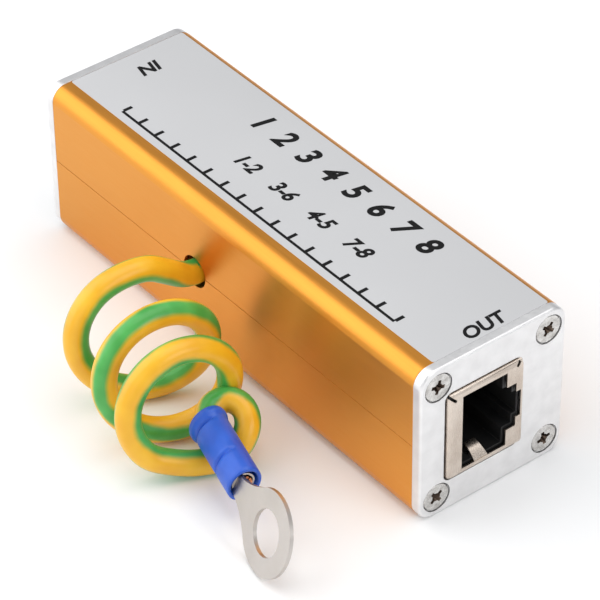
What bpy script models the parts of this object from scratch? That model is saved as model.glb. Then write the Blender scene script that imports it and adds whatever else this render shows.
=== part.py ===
"""Surge protector for a wired network line, with its earth lead.

Two extruded case halves meet at a lapped seam. Each end plate is held by four
countersunk screws in the channels of the extrusion and lets a shielded socket
through. The board stands in slots of both halves, with the gas tubes, resistors
and diodes between the sockets. The earth lead leaves the board through a hole
in the seam and ends in a ring terminal.

X runs along the case from the IN end to the OUT end, the lead leaves towards -Y,
and Z = 0 is the surface that the case stands on. All sizes are in metres.
"""

import math

import bmesh
import bpy
from mathutils import Matrix, Vector

# Case. Its width and height follow from the sockets, the board and the screws round them.
CASE_LENGTH = 0.0836
WALL = 0.0016
CORNER_RADIUS = 0.0025
GAP = 0.0003
TONGUE_THICKNESS = 0.00055
TONGUE_HEIGHT = 0.0012
CORNER_STEPS = 5

# Label in a shallow recess of the upper half
LABEL_SIDE_INSET = 0.0030
LABEL_END_INSET = 0.0004
LABEL_THICKNESS = 0.0002
LABEL_OFFSET_Y = 0.0001

# End plates and their screws
PLATE_THICKNESS = 0.0016
PLATE_CORNER_RADIUS = 0.0026
PLATE_EDGE_ROUND = 0.0004
SCREW_INSET_Y = 0.00315
SCREW_INSET_Z = 0.00320
SCREW_HEAD_RADIUS = 0.0020
SCREW_SHANK_RADIUS = 0.0010
SCREW_LENGTH = 0.0080
SCREW_SINK = 0.0001
SCREW_RIM = 0.0002
SCREW_SIDES = 20
CROSS_REACH = 0.00125
CROSS_WIDTH = 0.00046
CROSS_DEPTH = 0.0009
CROSS_FLOOR_SHARE = 0.45
CHANNEL_WALL = 0.0007
CHANNEL_SLOT = 0.0012

# Sockets, measured from the front face inwards
SOCKET_HEIGHT = 0.0135
SOCKET_WIDTH = 0.0155
SOCKET_TO_SIDE = 0.00445
SOCKET_TO_SCREW = 0.00015
SOCKET_PROUD = 0.0005
SHEET = 0.0003
SHEET_BEND = 0.00045
MOUTH_WIDTH = 0.0130
MOUTH_TOP_RIM = 0.0027
MOUTH_BOTTOM_RIM = 0.00285
LATCH_STEP_WIDTHS = (0.0077, 0.0046)
LATCH_STEP_RIMS = (0.00115, 0.0003)
MOUTH_REVEAL = 0.00035
CAVITY_DEPTH = 0.0135
CAVITY_BACK_WALL = 0.0009
FINGER_WIDTH = 0.0018
FINGER_REACH = 0.0026
FINGER_LEAN = 0.0013
FINGER_CENTRE = -0.0005
FINGER_THICKNESS = 0.00025
FINGER_ROOT_SHARE = 0.3
LEG_WIDTH = 0.0010
LEG_PLACE = 0.0090
PIN_PROUD = 0.0013

# Spring contacts of a socket
CONTACT_COUNT = 8
CONTACT_PITCH = 0.00102
CONTACT_THICKNESS = 0.0004
CONTACT_ROOF = 0.0004
CONTACT_NOSE = 0.0032
CONTACT_NOSE_RADIUS = 0.0005
CONTACT_TIP_DEPTH = 0.0105
CONTACT_TIP_DROP = 0.0041
PIN_ROWS_BEHIND_CAVITY = (0.0012, 0.0037)
PIN_TO_SOCKET_BACK = 0.0029
PIN_HOLE_RADIUS = 0.0005

# Board
BOARD_THICKNESS = 0.0016
SLOT_DEPTH = 0.0018
SLOT_RIB = 0.00055
RIB_TO_CHANNEL = 0.00015

# Parts on the board, in four rows, one for each pair of wires
ROW_COUNT = 4
ROW_PITCH = 0.0047
GAS_TUBE_PLACE = -0.0166
GAS_TUBE_LENGTH = 0.0060
GAS_TUBE_CAP = 0.0042
GAS_TUBE_BARREL_RADIUS = 0.0019
GAS_TUBE_ELECTRODE = 0.0007
RESISTOR_PLACE = 0.0012
RESISTOR_SIZE = (0.0032, 0.00055, 0.0016)
DIODE_PLACE = 0.0112
DIODE_SIZE = (0.0029, 0.0011, 0.0016)
DIODE_LEG = (0.0004, 0.0002, 0.0006)
DIODE_LEG_PITCH = 0.00095
DIODE_LEG_ROWS = 3

# Earth lead
LEAD_RADIUS = 0.0019
LEAD_HOLE_RADIUS = 0.0026
LEAD_HOLE_X = -0.0073
CORE_RADIUS = 0.0010
CORE_SHOW = 0.0018
COIL_START = (-0.0073, -0.0248)
COIL_HEADING = math.radians(-15.6)
COIL_ADVANCE = (0.0121, -0.00105)
COIL_SIDE_RADIUS = (0.0092, -0.00040)
COIL_RISE_RADIUS = (0.0083, 0.00017)
COIL_PHASE = math.radians(6.0)
COIL_SOLID_START = 0.0022
COIL_SOLID_END = 0.0180
COIL_SOLID_RADIUS = 0.0104
LEAD_START_POINTS = (
    (-0.0073, -0.0151, 0.01320),
    (-0.0073, -0.0179, 0.0152),
    (-0.0072, -0.0213, 0.0179),
    (-0.0075, -0.0254, 0.0184),
)
LEAD_END_TURNS = (2.2, 2.3, 2.4)
LEAD_END_POINTS = (
    (0.01570, -0.03126, 0.00211),
    (0.01757, -0.02723, 0.00210),
    (0.01838, -0.02453, 0.00377),
    (0.01780, -0.02294, 0.00704),
    (0.01600, -0.02295, 0.00960),
    (0.01435, -0.02415, 0.00995),
    (0.01310, -0.02565, 0.00890),
    (0.01325, -0.02685, 0.00790),
)
LEAD_STRAIGHT = 0.0010
LEAD_STEP = 0.0022
LEAD_SIDES = 2

# Ring terminal, measured along its barrel from the wire entry
RING_CENTRE = (0.03724, -0.03428, 0.00603)
TERMINAL_TURN = (math.radians(70.1), math.radians(4.1), math.radians(-14.0))
RING_RADIUS = 0.00625
RING_HOLE_RADIUS = 0.0034
TERMINAL_SHEET = 0.0006
ENTRY_TO_RING = 0.0232
SLEEVE_LENGTH = 0.0133
SLEEVE_WALL = 0.0006
SLEEVE_FLATNESS = 0.86
SLEEVE_LIP = 0.0003
SLEEVE_LIP_LENGTH = 0.0010
BARREL_RADIUS = 0.0017
BARREL_BELOW_RING = 0.0010
BARREL_START = 0.0050
BARREL_END = 0.0128
STRAND_RADIUS = 0.0009
STRANDS_SHORT = 0.0006
NECK_HALF_WIDTH = 0.0015
NECK_SHOULDER = 0.0034
RING_SHOULDER_ANGLE = math.radians(126)

# Places worked out from the sizes above
PIN_ROW_PLACES = [CAVITY_DEPTH + CAVITY_BACK_WALL + behind for behind in PIN_ROWS_BEHIND_CAVITY]
SOCKET_DEPTH = PIN_ROW_PLACES[-1] + PIN_TO_SOCKET_BACK
CHANNEL_HOLE = SCREW_SHANK_RADIUS + GAP
CHANNEL_OUTER = CHANNEL_HOLE + CHANNEL_WALL
BOARD_TO_SIDE = BOARD_THICKNESS + GAP + SLOT_RIB + RIB_TO_CHANNEL + CHANNEL_OUTER + SCREW_INSET_Y
CASE_WIDTH = SOCKET_TO_SIDE + SOCKET_HEIGHT + GAP + BOARD_TO_SIDE
CASE_HEIGHT = SOCKET_WIDTH + 2 * (SOCKET_TO_SCREW + SCREW_HEAD_RADIUS + SCREW_INSET_Z)
LABEL_WIDTH = CASE_WIDTH - 2 * LABEL_SIDE_INSET
LABEL_LENGTH = CASE_LENGTH - 2 * LABEL_END_INSET
SOCKET_CENTRE_Y = -CASE_WIDTH / 2 + SOCKET_TO_SIDE + SOCKET_HEIGHT / 2
MOUTH_TOP = SOCKET_HEIGHT / 2 - MOUTH_TOP_RIM
MOUTH_BOTTOM = SOCKET_HEIGHT / 2 - MOUTH_BOTTOM_RIM
HALF_CASE = CASE_LENGTH / 2
PLATE_BACK = HALF_CASE + GAP
PLATE_FACE = PLATE_BACK + PLATE_THICKNESS
SOCKET_FACE = PLATE_FACE + SOCKET_PROUD
SEAM_Z = CASE_HEIGHT / 2
SCREW_Y = CASE_WIDTH / 2 - SCREW_INSET_Y
BOARD_Y = SOCKET_CENTRE_Y + SOCKET_HEIGHT / 2 + GAP
BOARD_HALF_LENGTH = HALF_CASE - GAP
RECESS_DEPTH = LABEL_THICKNESS + GAP
INSERT_HALF_WIDTH = SOCKET_WIDTH / 2 - SHEET - GAP
INSERT_FRONT = SHEET + GAP
INSERT_BACK = SOCKET_DEPTH - SHEET - GAP
INSERT_TOP = SOCKET_CENTRE_Y - SOCKET_HEIGHT / 2 + SHEET + GAP
INSERT_BOTTOM = SOCKET_CENTRE_Y + SOCKET_HEIGHT / 2 - GAP
CONTACT_TOP = INSERT_TOP + CONTACT_ROOF + GAP + CONTACT_THICKNESS / 2
FLOOR_CLEARANCE = GAP / 10

# Flat outlines are drawn this many times too large, so that the fill keeps their finest corners apart
DRAWN_LARGER = 1000

# The turn of an outline drawn in (y, z) that is given its depth along X
OUTLINE_ALONG_X = Matrix(((0, 0, 1, 0), (1, 0, 0, 0), (0, 1, 0, 0), (0, 0, 0, 1)))

COLOURS = {
    "gold_anodised": ((0.76, 0.37, 0.10), 0.32, 1.0),
    "satin_aluminium": ((0.86, 0.86, 0.87), 0.42, 1.0),
    "screw_steel": ((0.74, 0.74, 0.75), 0.28, 1.0),
    "label_film": ((0.62, 0.63, 0.66), 0.45, 0.0),
    "nickel_sheet": ((0.62, 0.56, 0.50), 0.30, 1.0),
    "black_plastic": ((0.02, 0.02, 0.022), 0.45, 0.0),
    "contact_gold": ((0.80, 0.58, 0.25), 0.25, 1.0),
    "board_green": ((0.03, 0.16, 0.07), 0.40, 0.0),
    "tube_ceramic": ((0.82, 0.80, 0.76), 0.50, 0.0),
    "chip_ceramic": ((0.12, 0.12, 0.13), 0.50, 0.0),
    "diode_epoxy": ((0.03, 0.03, 0.03), 0.55, 0.0),
    "lead_yellow": ((0.93, 0.56, 0.05), 0.35, 0.0),
    "copper": ((0.72, 0.36, 0.22), 0.35, 1.0),
    "sleeve_blue": ((0.02, 0.10, 0.62), 0.35, 0.0),
    "tinned_copper": ((0.78, 0.74, 0.71), 0.28, 1.0),
}


def clear_scene():
    for obj in list(bpy.data.objects):
        bpy.data.objects.remove(obj, do_unlink=True)


def new_collection(name):
    collection = bpy.data.collections.new(name)
    bpy.context.scene.collection.children.link(collection)
    return collection


clear_scene()
PARTS = new_collection("ethernet_surge_protector")
CUTTERS = new_collection("cutters")


def material(name):
    """The named material, made the first time it is asked for."""
    found = bpy.data.materials.get(name)
    if found:
        return found
    colour, roughness, metallic = COLOURS[name]
    made = bpy.data.materials.new(name)
    made.use_nodes = True
    shader = made.node_tree.nodes["Principled BSDF"]
    shader.inputs["Base Color"].default_value = (*colour, 1.0)
    shader.inputs["Roughness"].default_value = roughness
    shader.inputs["Metallic"].default_value = metallic
    made.diffuse_color = (*colour, 1.0)
    return made


def add_part(name, data, finish, location=(0, 0, 0)):
    part = bpy.data.objects.new(name, data)
    if not data.materials:
        data.materials.append(material(finish))
    part.location = location
    PARTS.objects.link(part)
    return part


def add_cutter(name, mesh):
    cutter = bpy.data.objects.new(name, mesh)
    cutter.hide_render = True
    cutter.display_type = "WIRE"
    CUTTERS.objects.link(cutter)
    return cutter


def boolean(part, other, operation):
    step = part.modifiers.new(other.name, "BOOLEAN")
    step.operation = operation
    step.object = other


def frozen(part):
    """The evaluated mesh of an object, which is removed."""
    bpy.context.view_layer.update()
    mesh = bpy.data.meshes.new_from_object(part.evaluated_get(bpy.context.evaluated_depsgraph_get()))
    bpy.data.objects.remove(part, do_unlink=True)
    return mesh


def united(name, meshes):
    """One mesh from several overlapping ones."""
    base = add_cutter(name, meshes[0])
    tools = [add_cutter(f"{name}_{index}", mesh) for index, mesh in enumerate(meshes[1:])]
    for tool in tools:
        boolean(base, tool, "UNION")
    mesh = frozen(base)
    for tool in tools:
        bpy.data.objects.remove(tool, do_unlink=True)
    return mesh


def mesh_from(name, bm):
    bmesh.ops.recalc_face_normals(bm, faces=bm.faces)
    mesh = bpy.data.meshes.new(name)
    bm.to_mesh(mesh)
    bm.free()
    return mesh


def smooth(mesh, degrees=35):
    mesh.shade_smooth()
    mesh.set_sharp_from_angle(angle=math.radians(degrees))
    return mesh


def add_box(bm, low, high):
    """A box between two corners, added to bm; its vertices are returned."""
    low, high = Vector(low), Vector(high)
    size = high - low
    place = Matrix.Translation((low + high) / 2) @ Matrix.Diagonal((*size, 1.0))
    return bmesh.ops.create_cube(bm, size=1.0, matrix=place)["verts"]


def box_mesh(name, low, high):
    bm = bmesh.new()
    add_box(bm, low, high)
    return mesh_from(name, bm)


def add_cylinder(bm, start, end, radius, sides):
    """A closed cylinder between two points, added to bm."""
    start, end = Vector(start), Vector(end)
    axis = end - start
    turn = Vector((0, 0, 1)).rotation_difference(axis).to_matrix().to_4x4()
    place = Matrix.Translation((start + end) / 2) @ turn
    bmesh.ops.create_cone(
        bm, cap_ends=True, segments=sides, radius1=radius, radius2=radius, depth=axis.length, matrix=place
    )


def arc(centre, radius, start, end, steps):
    """Points on an arc from one angle to another, in degrees."""
    angles = (math.radians(start + (end - start) * i / steps) for i in range(steps + 1))
    return [(centre[0] + radius * math.cos(a), centre[1] + radius * math.sin(a)) for a in angles]


def circle(centre, radius, sides):
    return arc(centre, radius, 0, 360, sides)[:-1]


def rounded_rectangle(low, high, radius, steps=CORNER_STEPS):
    (x0, y0), (x1, y1) = low, high
    corners = (((x1, y1), 1, 1, 0), ((x0, y1), -1, 1, 90), ((x0, y0), -1, -1, 180), ((x1, y0), 1, -1, 270))
    points = []
    for (x, y), side_x, side_y, start in corners:
        points += arc((x - side_x * radius, y - side_y * radius), radius, start, start + 90, steps)
    return points


def extruded(name, rings, depth, place=Matrix.Identity(4)):
    """A flat outline with its holes, drawn as a 2D curve and given a depth."""
    curve = bpy.data.curves.new(name, "CURVE")
    curve.dimensions = "2D"
    curve.fill_mode = "BOTH"
    curve.extrude = DRAWN_LARGER * depth / 2
    for ring in rings:
        spline = curve.splines.new("POLY")
        spline.points.add(len(ring) - 1)
        for point, (u, v) in zip(spline.points, ring):
            point.co = (DRAWN_LARGER * u, DRAWN_LARGER * v, 0, 1)
        spline.use_cyclic_u = True
    drawn = bpy.data.objects.new(name, curve)
    PARTS.objects.link(drawn)
    mesh = frozen(drawn)
    bpy.data.curves.remove(curve)
    bm = bmesh.new()
    bm.from_mesh(mesh)
    bpy.data.meshes.remove(mesh)
    bmesh.ops.remove_doubles(bm, verts=bm.verts, dist=1e-3)
    bmesh.ops.transform(bm, matrix=place @ Matrix.Scale(1 / DRAWN_LARGER, 4), verts=bm.verts)
    return mesh_from(name, bm)


def along_x(name, rings, start, end):
    """An outline in (y, z) that runs between two places on X."""
    place = Matrix.Translation(((start + end) / 2, 0, 0)) @ OUTLINE_ALONG_X
    return extruded(name, rings, abs(end - start), place)


def turned(name, profile, sides, closed=False):
    """A profile of (radius, height) points, top to bottom, turned about Z.

    A closed profile joins its last point to its first, for a ring with a bore.
    """
    bm = bmesh.new()
    points = [bm.verts.new((radius, 0, height)) for radius, height in profile]
    for first, second in zip(points, points[1:] + points[:closed]):
        bm.edges.new((first, second))
    mesh = bpy.data.meshes.new(name)
    bm.to_mesh(mesh)
    bm.free()
    shape = bpy.data.objects.new(name, mesh)
    PARTS.objects.link(shape)
    screw = shape.modifiers.new("Screw", "SCREW")
    screw.steps = screw.render_steps = sides
    screw.use_merge_vertices = True
    screw.merge_threshold = 1e-6
    return frozen(shape)


def tube_curve(name, points, radius, resolution):
    """A round tube through points, as a curve with filled caps."""
    curve = bpy.data.curves.new(name, "CURVE")
    curve.dimensions = "3D"
    curve.bevel_depth = radius
    curve.bevel_resolution = resolution
    curve.use_fill_caps = True
    spline = curve.splines.new("POLY")
    spline.points.add(len(points) - 1)
    for point, place in zip(spline.points, points):
        point.co = (*place, 1)
    return curve


def smooth_route(points, step):
    """Places about one step apart on a smooth curve through the points."""
    points = [Vector(p) for p in points]
    ends = [2 * points[0] - points[1], *points, 2 * points[-1] - points[-2]]
    route = [points[0]]
    for before, first, second, after in zip(ends, ends[1:], ends[2:], ends[3:]):
        pieces = max(1, round((second - first).length / step))
        for i in range(1, pieces + 1):
            t = i / pieces
            route.append(
                0.5
                * (
                    2 * first
                    + (second - before) * t
                    + (2 * before - 5 * first + 4 * second - after) * t**2
                    + (3 * first - before - 3 * second + after) * t**3
                )
            )
    return route


def screw_channel():
    """The open screw channel in the corner at -Y, as outline points from the wall to the floor.

    They go round the outside to the slot, round the bore and back to the floor.
    """
    centre = (-SCREW_Y, SCREW_INSET_Z)
    outer = CHANNEL_OUTER
    wall_angle = math.degrees(math.acos((CASE_WIDTH / 2 - WALL - SCREW_Y) / outer))
    floor_angle = math.degrees(math.acos((SCREW_INSET_Z - WALL) / outer))
    slot_outer = math.degrees(math.asin(CHANNEL_SLOT / 2 / outer))
    slot_inner = math.degrees(math.asin(CHANNEL_SLOT / 2 / CHANNEL_HOLE))
    points = arc(centre, outer, 180 - wall_angle, 45 + slot_outer, 4)
    points += arc(centre, CHANNEL_HOLE, 45 + slot_inner, 405 - slot_inner, 16)
    points += arc(centre, outer, 45 - slot_outer, floor_angle - 90, 4)
    return points


def slot_ribs():
    """The two ribs of the board's slot as outline points on the floor, from the wall at +Y inwards."""
    near = BOARD_Y - GAP - SLOT_RIB
    far = near + SLOT_RIB + BOARD_THICKNESS + 2 * GAP
    foot, top = WALL, WALL + SLOT_DEPTH
    points = []
    for low in (far, near):
        high = low + SLOT_RIB
        points += [(high, foot), (high, top), (low, top), (low, foot)]
    return points


def mirrored(points):
    """Outline points on the other side of the middle, in the order that continues the outline."""
    return [(-y, z) for y, z in reversed(points)]


def half_case_outline(recess):
    """One half of the extrusion in (y, z), standing on z = 0, as a single ring.

    The wall at -Y ends in the tongue and the wall at +Y in the rebate for the
    tongue of the other half, which is the same outline turned over.
    """
    side = CASE_WIDTH / 2
    inner = side - WALL
    rim = SEAM_Z - GAP / 2
    lip = inner + TONGUE_THICKNESS
    rebate = SEAM_Z - TONGUE_HEIGHT - GAP
    points = [(-side, rim)]
    points += arc((-side + CORNER_RADIUS, CORNER_RADIUS), CORNER_RADIUS, 180, 270, CORNER_STEPS)
    if recess:
        low, high = recess
        points += [(low, 0), (low, RECESS_DEPTH), (high, RECESS_DEPTH), (high, 0)]
    points += arc((side - CORNER_RADIUS, CORNER_RADIUS), CORNER_RADIUS, 270, 360, CORNER_STEPS)
    points += [(side, rim), (lip + GAP, rim), (lip + GAP, rebate), (inner, rebate)]
    inside = [(-y, z) for y, z in screw_channel()] + slot_ribs()
    points += inside + mirrored(inside)
    points += [(-inner, SEAM_Z + TONGUE_HEIGHT), (-lip, SEAM_Z + TONGUE_HEIGHT), (-lip, rim)]
    return points


def build_case():
    """Both halves of the case, cut by the hole that the earth lead leaves through."""
    bm = bmesh.new()
    outside = -CASE_WIDTH / 2 - WALL
    add_cylinder(
        bm, (LEAD_HOLE_X, outside, SEAM_Z), (LEAD_HOLE_X, outside + 3 * WALL, SEAM_Z), LEAD_HOLE_RADIUS, 24
    )
    hole = add_cutter("lead_hole", mesh_from("lead_hole", bm))
    lower = along_x("lower_shell", [half_case_outline(None)], -HALF_CASE, HALF_CASE)
    recess_half = LABEL_WIDTH / 2 + GAP
    recess = (-LABEL_OFFSET_Y - recess_half, -LABEL_OFFSET_Y + recess_half)
    upper = along_x("upper_shell", [half_case_outline(recess)], -HALF_CASE, HALF_CASE)
    upper.transform(Matrix.Translation((0, 0, CASE_HEIGHT)) @ Matrix.Rotation(math.pi, 4, "X"))
    for name, mesh in (("lower_shell", lower), ("upper_shell", upper)):
        part = add_part(name, smooth(mesh, 30), "gold_anodised")
        boolean(part, hole, "DIFFERENCE")


def build_label():
    half_length, half_width = LABEL_LENGTH / 2, LABEL_WIDTH / 2
    ring = rounded_rectangle(
        (-half_length, LABEL_OFFSET_Y - half_width), (half_length, LABEL_OFFSET_Y + half_width), GAP
    )
    place = Matrix.Translation((0, 0, CASE_HEIGHT - LABEL_THICKNESS / 2))
    add_part("top_label", extruded("top_label", [ring], LABEL_THICKNESS, place), "label_film")


def screw_places():
    """The (y, z) places of the four screws of an end, numbered from the lower one at -Y."""
    heights = (SCREW_INSET_Z, CASE_HEIGHT - SCREW_INSET_Z)
    return [(y, z) for z in heights for y in (-SCREW_Y, SCREW_Y)]


def plate_slab(name, side):
    """The plain slab of an end plate, its front edge rounded all along the outline."""
    half = CASE_WIDTH / 2
    outline = rounded_rectangle((-half, 0), (half, CASE_HEIGHT), PLATE_CORNER_RADIUS)
    mesh = along_x(name, [outline], side * PLATE_BACK, side * PLATE_FACE)
    bm = bmesh.new()
    bm.from_mesh(mesh)
    bmesh.ops.dissolve_limit(bm, angle_limit=math.radians(1), verts=bm.verts, edges=bm.edges)
    rim = [e for e in bm.edges if all(abs(v.co.x - side * PLATE_FACE) < 1e-6 for v in e.verts)]
    bmesh.ops.bevel(bm, geom=rim, offset=PLATE_EDGE_ROUND, segments=2, affect="EDGES", profile=0.5)
    bm.to_mesh(mesh)
    bm.free()
    return mesh


def socket_window(name, side):
    """A cutter for the window that a socket stands through."""
    half_y = SOCKET_HEIGHT / 2 + GAP
    half_z = SOCKET_WIDTH / 2 + GAP
    low, high = (SOCKET_CENTRE_Y - half_y, SEAM_Z - half_z), (SOCKET_CENTRE_Y + half_y, SEAM_Z + half_z)
    ring = rounded_rectangle(low, high, 2 * SHEET_BEND, 3)
    return along_x(name, [ring], side * HALF_CASE, side * (PLATE_FACE + GAP))


def screw_sinks(name, side):
    """Cutters for the screw holes of a plate: shank bore, countersink and the short bore over the head."""
    sink = turned(
        name,
        [
            (0, PLATE_FACE + GAP),
            (SCREW_HEAD_RADIUS + GAP, PLATE_FACE + GAP),
            (SCREW_HEAD_RADIUS + GAP, PLATE_FACE - SCREW_SINK - SCREW_RIM),
            (CHANNEL_HOLE, PLATE_FACE - SCREW_SINK - SCREW_RIM - SCREW_HEAD_RADIUS - GAP + CHANNEL_HOLE),
            (CHANNEL_HOLE, HALF_CASE),
            (0, HALF_CASE),
        ],
        SCREW_SIDES,
    )
    bm = bmesh.new()
    for y, z in screw_places():
        start = len(bm.verts)
        bm.from_mesh(sink)
        place = Matrix.Translation((0, y, z)) @ Matrix.Rotation(side * math.pi / 2, 4, "Y")
        bm.verts.ensure_lookup_table()
        bmesh.ops.transform(bm, matrix=place, verts=bm.verts[start:])
    return mesh_from(name, bm)


def build_end_plate(name, side):
    """An end plate with its socket window and countersunk screw holes."""
    plate = add_part(name, smooth(plate_slab(name, side), 40), "satin_aluminium")
    boolean(plate, add_cutter(f"{name}_window", socket_window(f"{name}_window", side)), "DIFFERENCE")
    boolean(plate, add_cutter(f"{name}_sinks", screw_sinks(f"{name}_sinks", side)), "DIFFERENCE")


def screw_mesh():
    """A countersunk screw with a cross recess, its head's face at z = 0 and its shank down -Z."""
    cone = SCREW_HEAD_RADIUS - SCREW_SHANK_RADIUS
    profile = [
        (0, 0),
        (SCREW_HEAD_RADIUS, 0),
        (SCREW_HEAD_RADIUS, -SCREW_RIM),
        (SCREW_SHANK_RADIUS, -SCREW_RIM - cone),
        (SCREW_SHANK_RADIUS, -SCREW_LENGTH + SCREW_SHANK_RADIUS / 2),
        (SCREW_SHANK_RADIUS / 2, -SCREW_LENGTH),
        (0, -SCREW_LENGTH),
    ]
    head = bpy.data.objects.new("screw", turned("screw", profile, SCREW_SIDES))
    PARTS.objects.link(head)
    for index in range(2):
        bm = bmesh.new()
        reach, width = (CROSS_REACH, CROSS_WIDTH / 2) if index == 0 else (CROSS_WIDTH / 2, CROSS_REACH)
        vertices = add_box(bm, (-reach, -width, -CROSS_DEPTH), (reach, width, CROSS_DEPTH))
        for vertex in vertices:
            if vertex.co.z < 0:
                vertex.co.x *= CROSS_FLOOR_SHARE if index == 0 else 1
                vertex.co.y *= 1 if index == 0 else CROSS_FLOOR_SHARE
        boolean(head, add_cutter(f"cross_{index}", mesh_from("cross", bm)), "DIFFERENCE")
    mesh = frozen(head)
    for index in range(2):
        bpy.data.objects.remove(bpy.data.objects[f"cross_{index}"], do_unlink=True)
    return smooth(mesh)


def build_screws():
    """Four screws in each end plate, all of one mesh, their cross slots at chance angles."""
    mesh = screw_mesh()
    slot_angles = (40, 12, 75, 55)
    for end, side in (("out", 1), ("in", -1)):
        for number, ((y, z), angle) in enumerate(zip(screw_places(), slot_angles), start=1):
            screw = add_part(f"end_screw_{end}_{number}", mesh, "screw_steel")
            screw.location = (side * (PLATE_FACE - SCREW_SINK), y, z)
            screw.rotation_euler = (math.radians(angle), side * math.pi / 2, 0)
            screw.rotation_mode = "ZYX"


def mouth_ring(grow):
    """The stepped outline of a socket's mouth in (y, z) from its centre, larger all round by grow.

    The main opening lies towards -Y and the two steps for the plug's latch towards +Y.
    """
    halves = [MOUTH_WIDTH / 2 + grow] + [width / 2 + grow for width in LATCH_STEP_WIDTHS]
    reaches = [MOUTH_BOTTOM + grow] + [SOCKET_HEIGHT / 2 - rim + grow for rim in LATCH_STEP_RIMS]
    right = [(-MOUTH_TOP - grow, halves[0])]
    for half, reach, following in zip(halves, reaches, [*halves[1:], None]):
        right.append((reach, half))
        if following is not None:
            right.append((reach, following))
    ring = right + [(y, -z) for y, z in reversed(right)]
    return [(SOCKET_CENTRE_Y + y, SEAM_Z + z) for y, z in ring]


def socket_x(side, depth):
    """The place on X of a depth behind a socket's front face."""
    return side * (SOCKET_FACE - depth)


def socket_box(side, depths, y_range, z_range):
    """Low and high corners of a box given by its depths behind the front face, y and z from the centre."""
    x = sorted(socket_x(side, depth) for depth in depths)
    return (x[0], y_range[0], SEAM_Z + z_range[0]), (x[1], y_range[1], SEAM_Z + z_range[1])


def shield_sheet(name, side):
    """The folded sheet of a socket's shield as an open surface: five sides and two solder legs."""
    half_y, half_z = SOCKET_HEIGHT / 2, SOCKET_WIDTH / 2
    bm = bmesh.new()
    add_box(
        bm,
        *socket_box(side, (0, SOCKET_DEPTH), (SOCKET_CENTRE_Y - half_y, SOCKET_CENTRE_Y + half_y), (-half_z, half_z)),
    )
    bmesh.ops.recalc_face_normals(bm, faces=bm.faces)
    open_side = [f for f in bm.faces if f.normal.y > 0.9]
    bmesh.ops.delete(bm, geom=open_side, context="FACES")
    folds = [e for e in bm.edges if len(e.link_faces) == 2]
    bmesh.ops.bevel(bm, geom=folds, offset=SHEET_BEND, segments=2, affect="EDGES", profile=0.5)
    foot_y = SOCKET_CENTRE_Y + half_y
    for depth in (LEG_PLACE - LEG_WIDTH / 2, LEG_PLACE + LEG_WIDTH / 2):
        bmesh.ops.bisect_plane(
            bm,
            geom=bm.verts[:] + bm.edges[:] + bm.faces[:],
            plane_co=(socket_x(side, depth), 0, 0),
            plane_no=(1, 0, 0),
        )
    feet = [
        e
        for e in bm.edges
        if all(
            abs(v.co.y - foot_y) < 1e-6
            and abs(v.co.x - socket_x(side, LEG_PLACE)) < LEG_WIDTH / 2 + 1e-6
            and abs(abs(v.co.z - SEAM_Z) - half_z) < 1e-6
            for v in e.verts
        )
    ]
    legs = bmesh.ops.extrude_edge_only(bm, edges=feet)["geom"]
    reach = BOARD_Y + BOARD_THICKNESS + PIN_PROUD - foot_y
    bmesh.ops.translate(bm, vec=(0, reach, 0), verts=[v for v in legs if isinstance(v, bmesh.types.BMVert)])
    return mesh_from(name, bm)


def finger_mesh(name, side, edge):
    """A spring finger bent in from one rim of the mouth, to touch the plug's shell."""
    rim = MOUTH_WIDTH / 2 + FINGER_THICKNESS / 2
    half = FINGER_THICKNESS / 2
    root = SHEET * FINGER_ROOT_SHARE
    path = [(root, rim + half), (FINGER_REACH, rim - FINGER_LEAN)]
    path += [(FINGER_REACH, rim - FINGER_LEAN - FINGER_THICKNESS), (root, rim - half)]
    bm = bmesh.new()
    ends = []
    for offset in (-FINGER_WIDTH / 2, FINGER_WIDTH / 2):
        y = SOCKET_CENTRE_Y + FINGER_CENTRE + offset
        ring = [bm.verts.new((socket_x(side, depth), y, SEAM_Z + edge * z)) for depth, z in path]
        ends.append(bm.faces.new(ring))
    bmesh.ops.bridge_loops(bm, edges=[e for face in ends for e in face.edges])
    return mesh_from(name, bm)


def build_shield(end, side):
    name = f"socket_shield_{end}"
    mesh = shield_sheet(name, side)
    shield = add_part(name, smooth(mesh), "nickel_sheet")
    solid = shield.modifiers.new("Solidify", "SOLIDIFY")
    solid.thickness = SHEET
    solid.offset = -1
    mouth = along_x(f"{name}_mouth", [mouth_ring(0)], socket_x(side, -GAP), socket_x(side, INSERT_FRONT))
    boolean(shield, add_cutter(f"{name}_mouth", mouth), "DIFFERENCE")
    for number, edge in enumerate((-1, 1)):
        finger = finger_mesh(f"{name}_finger_{number}", side, edge)
        boolean(shield, add_cutter(f"{name}_finger_{number}", finger), "UNION")


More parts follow.
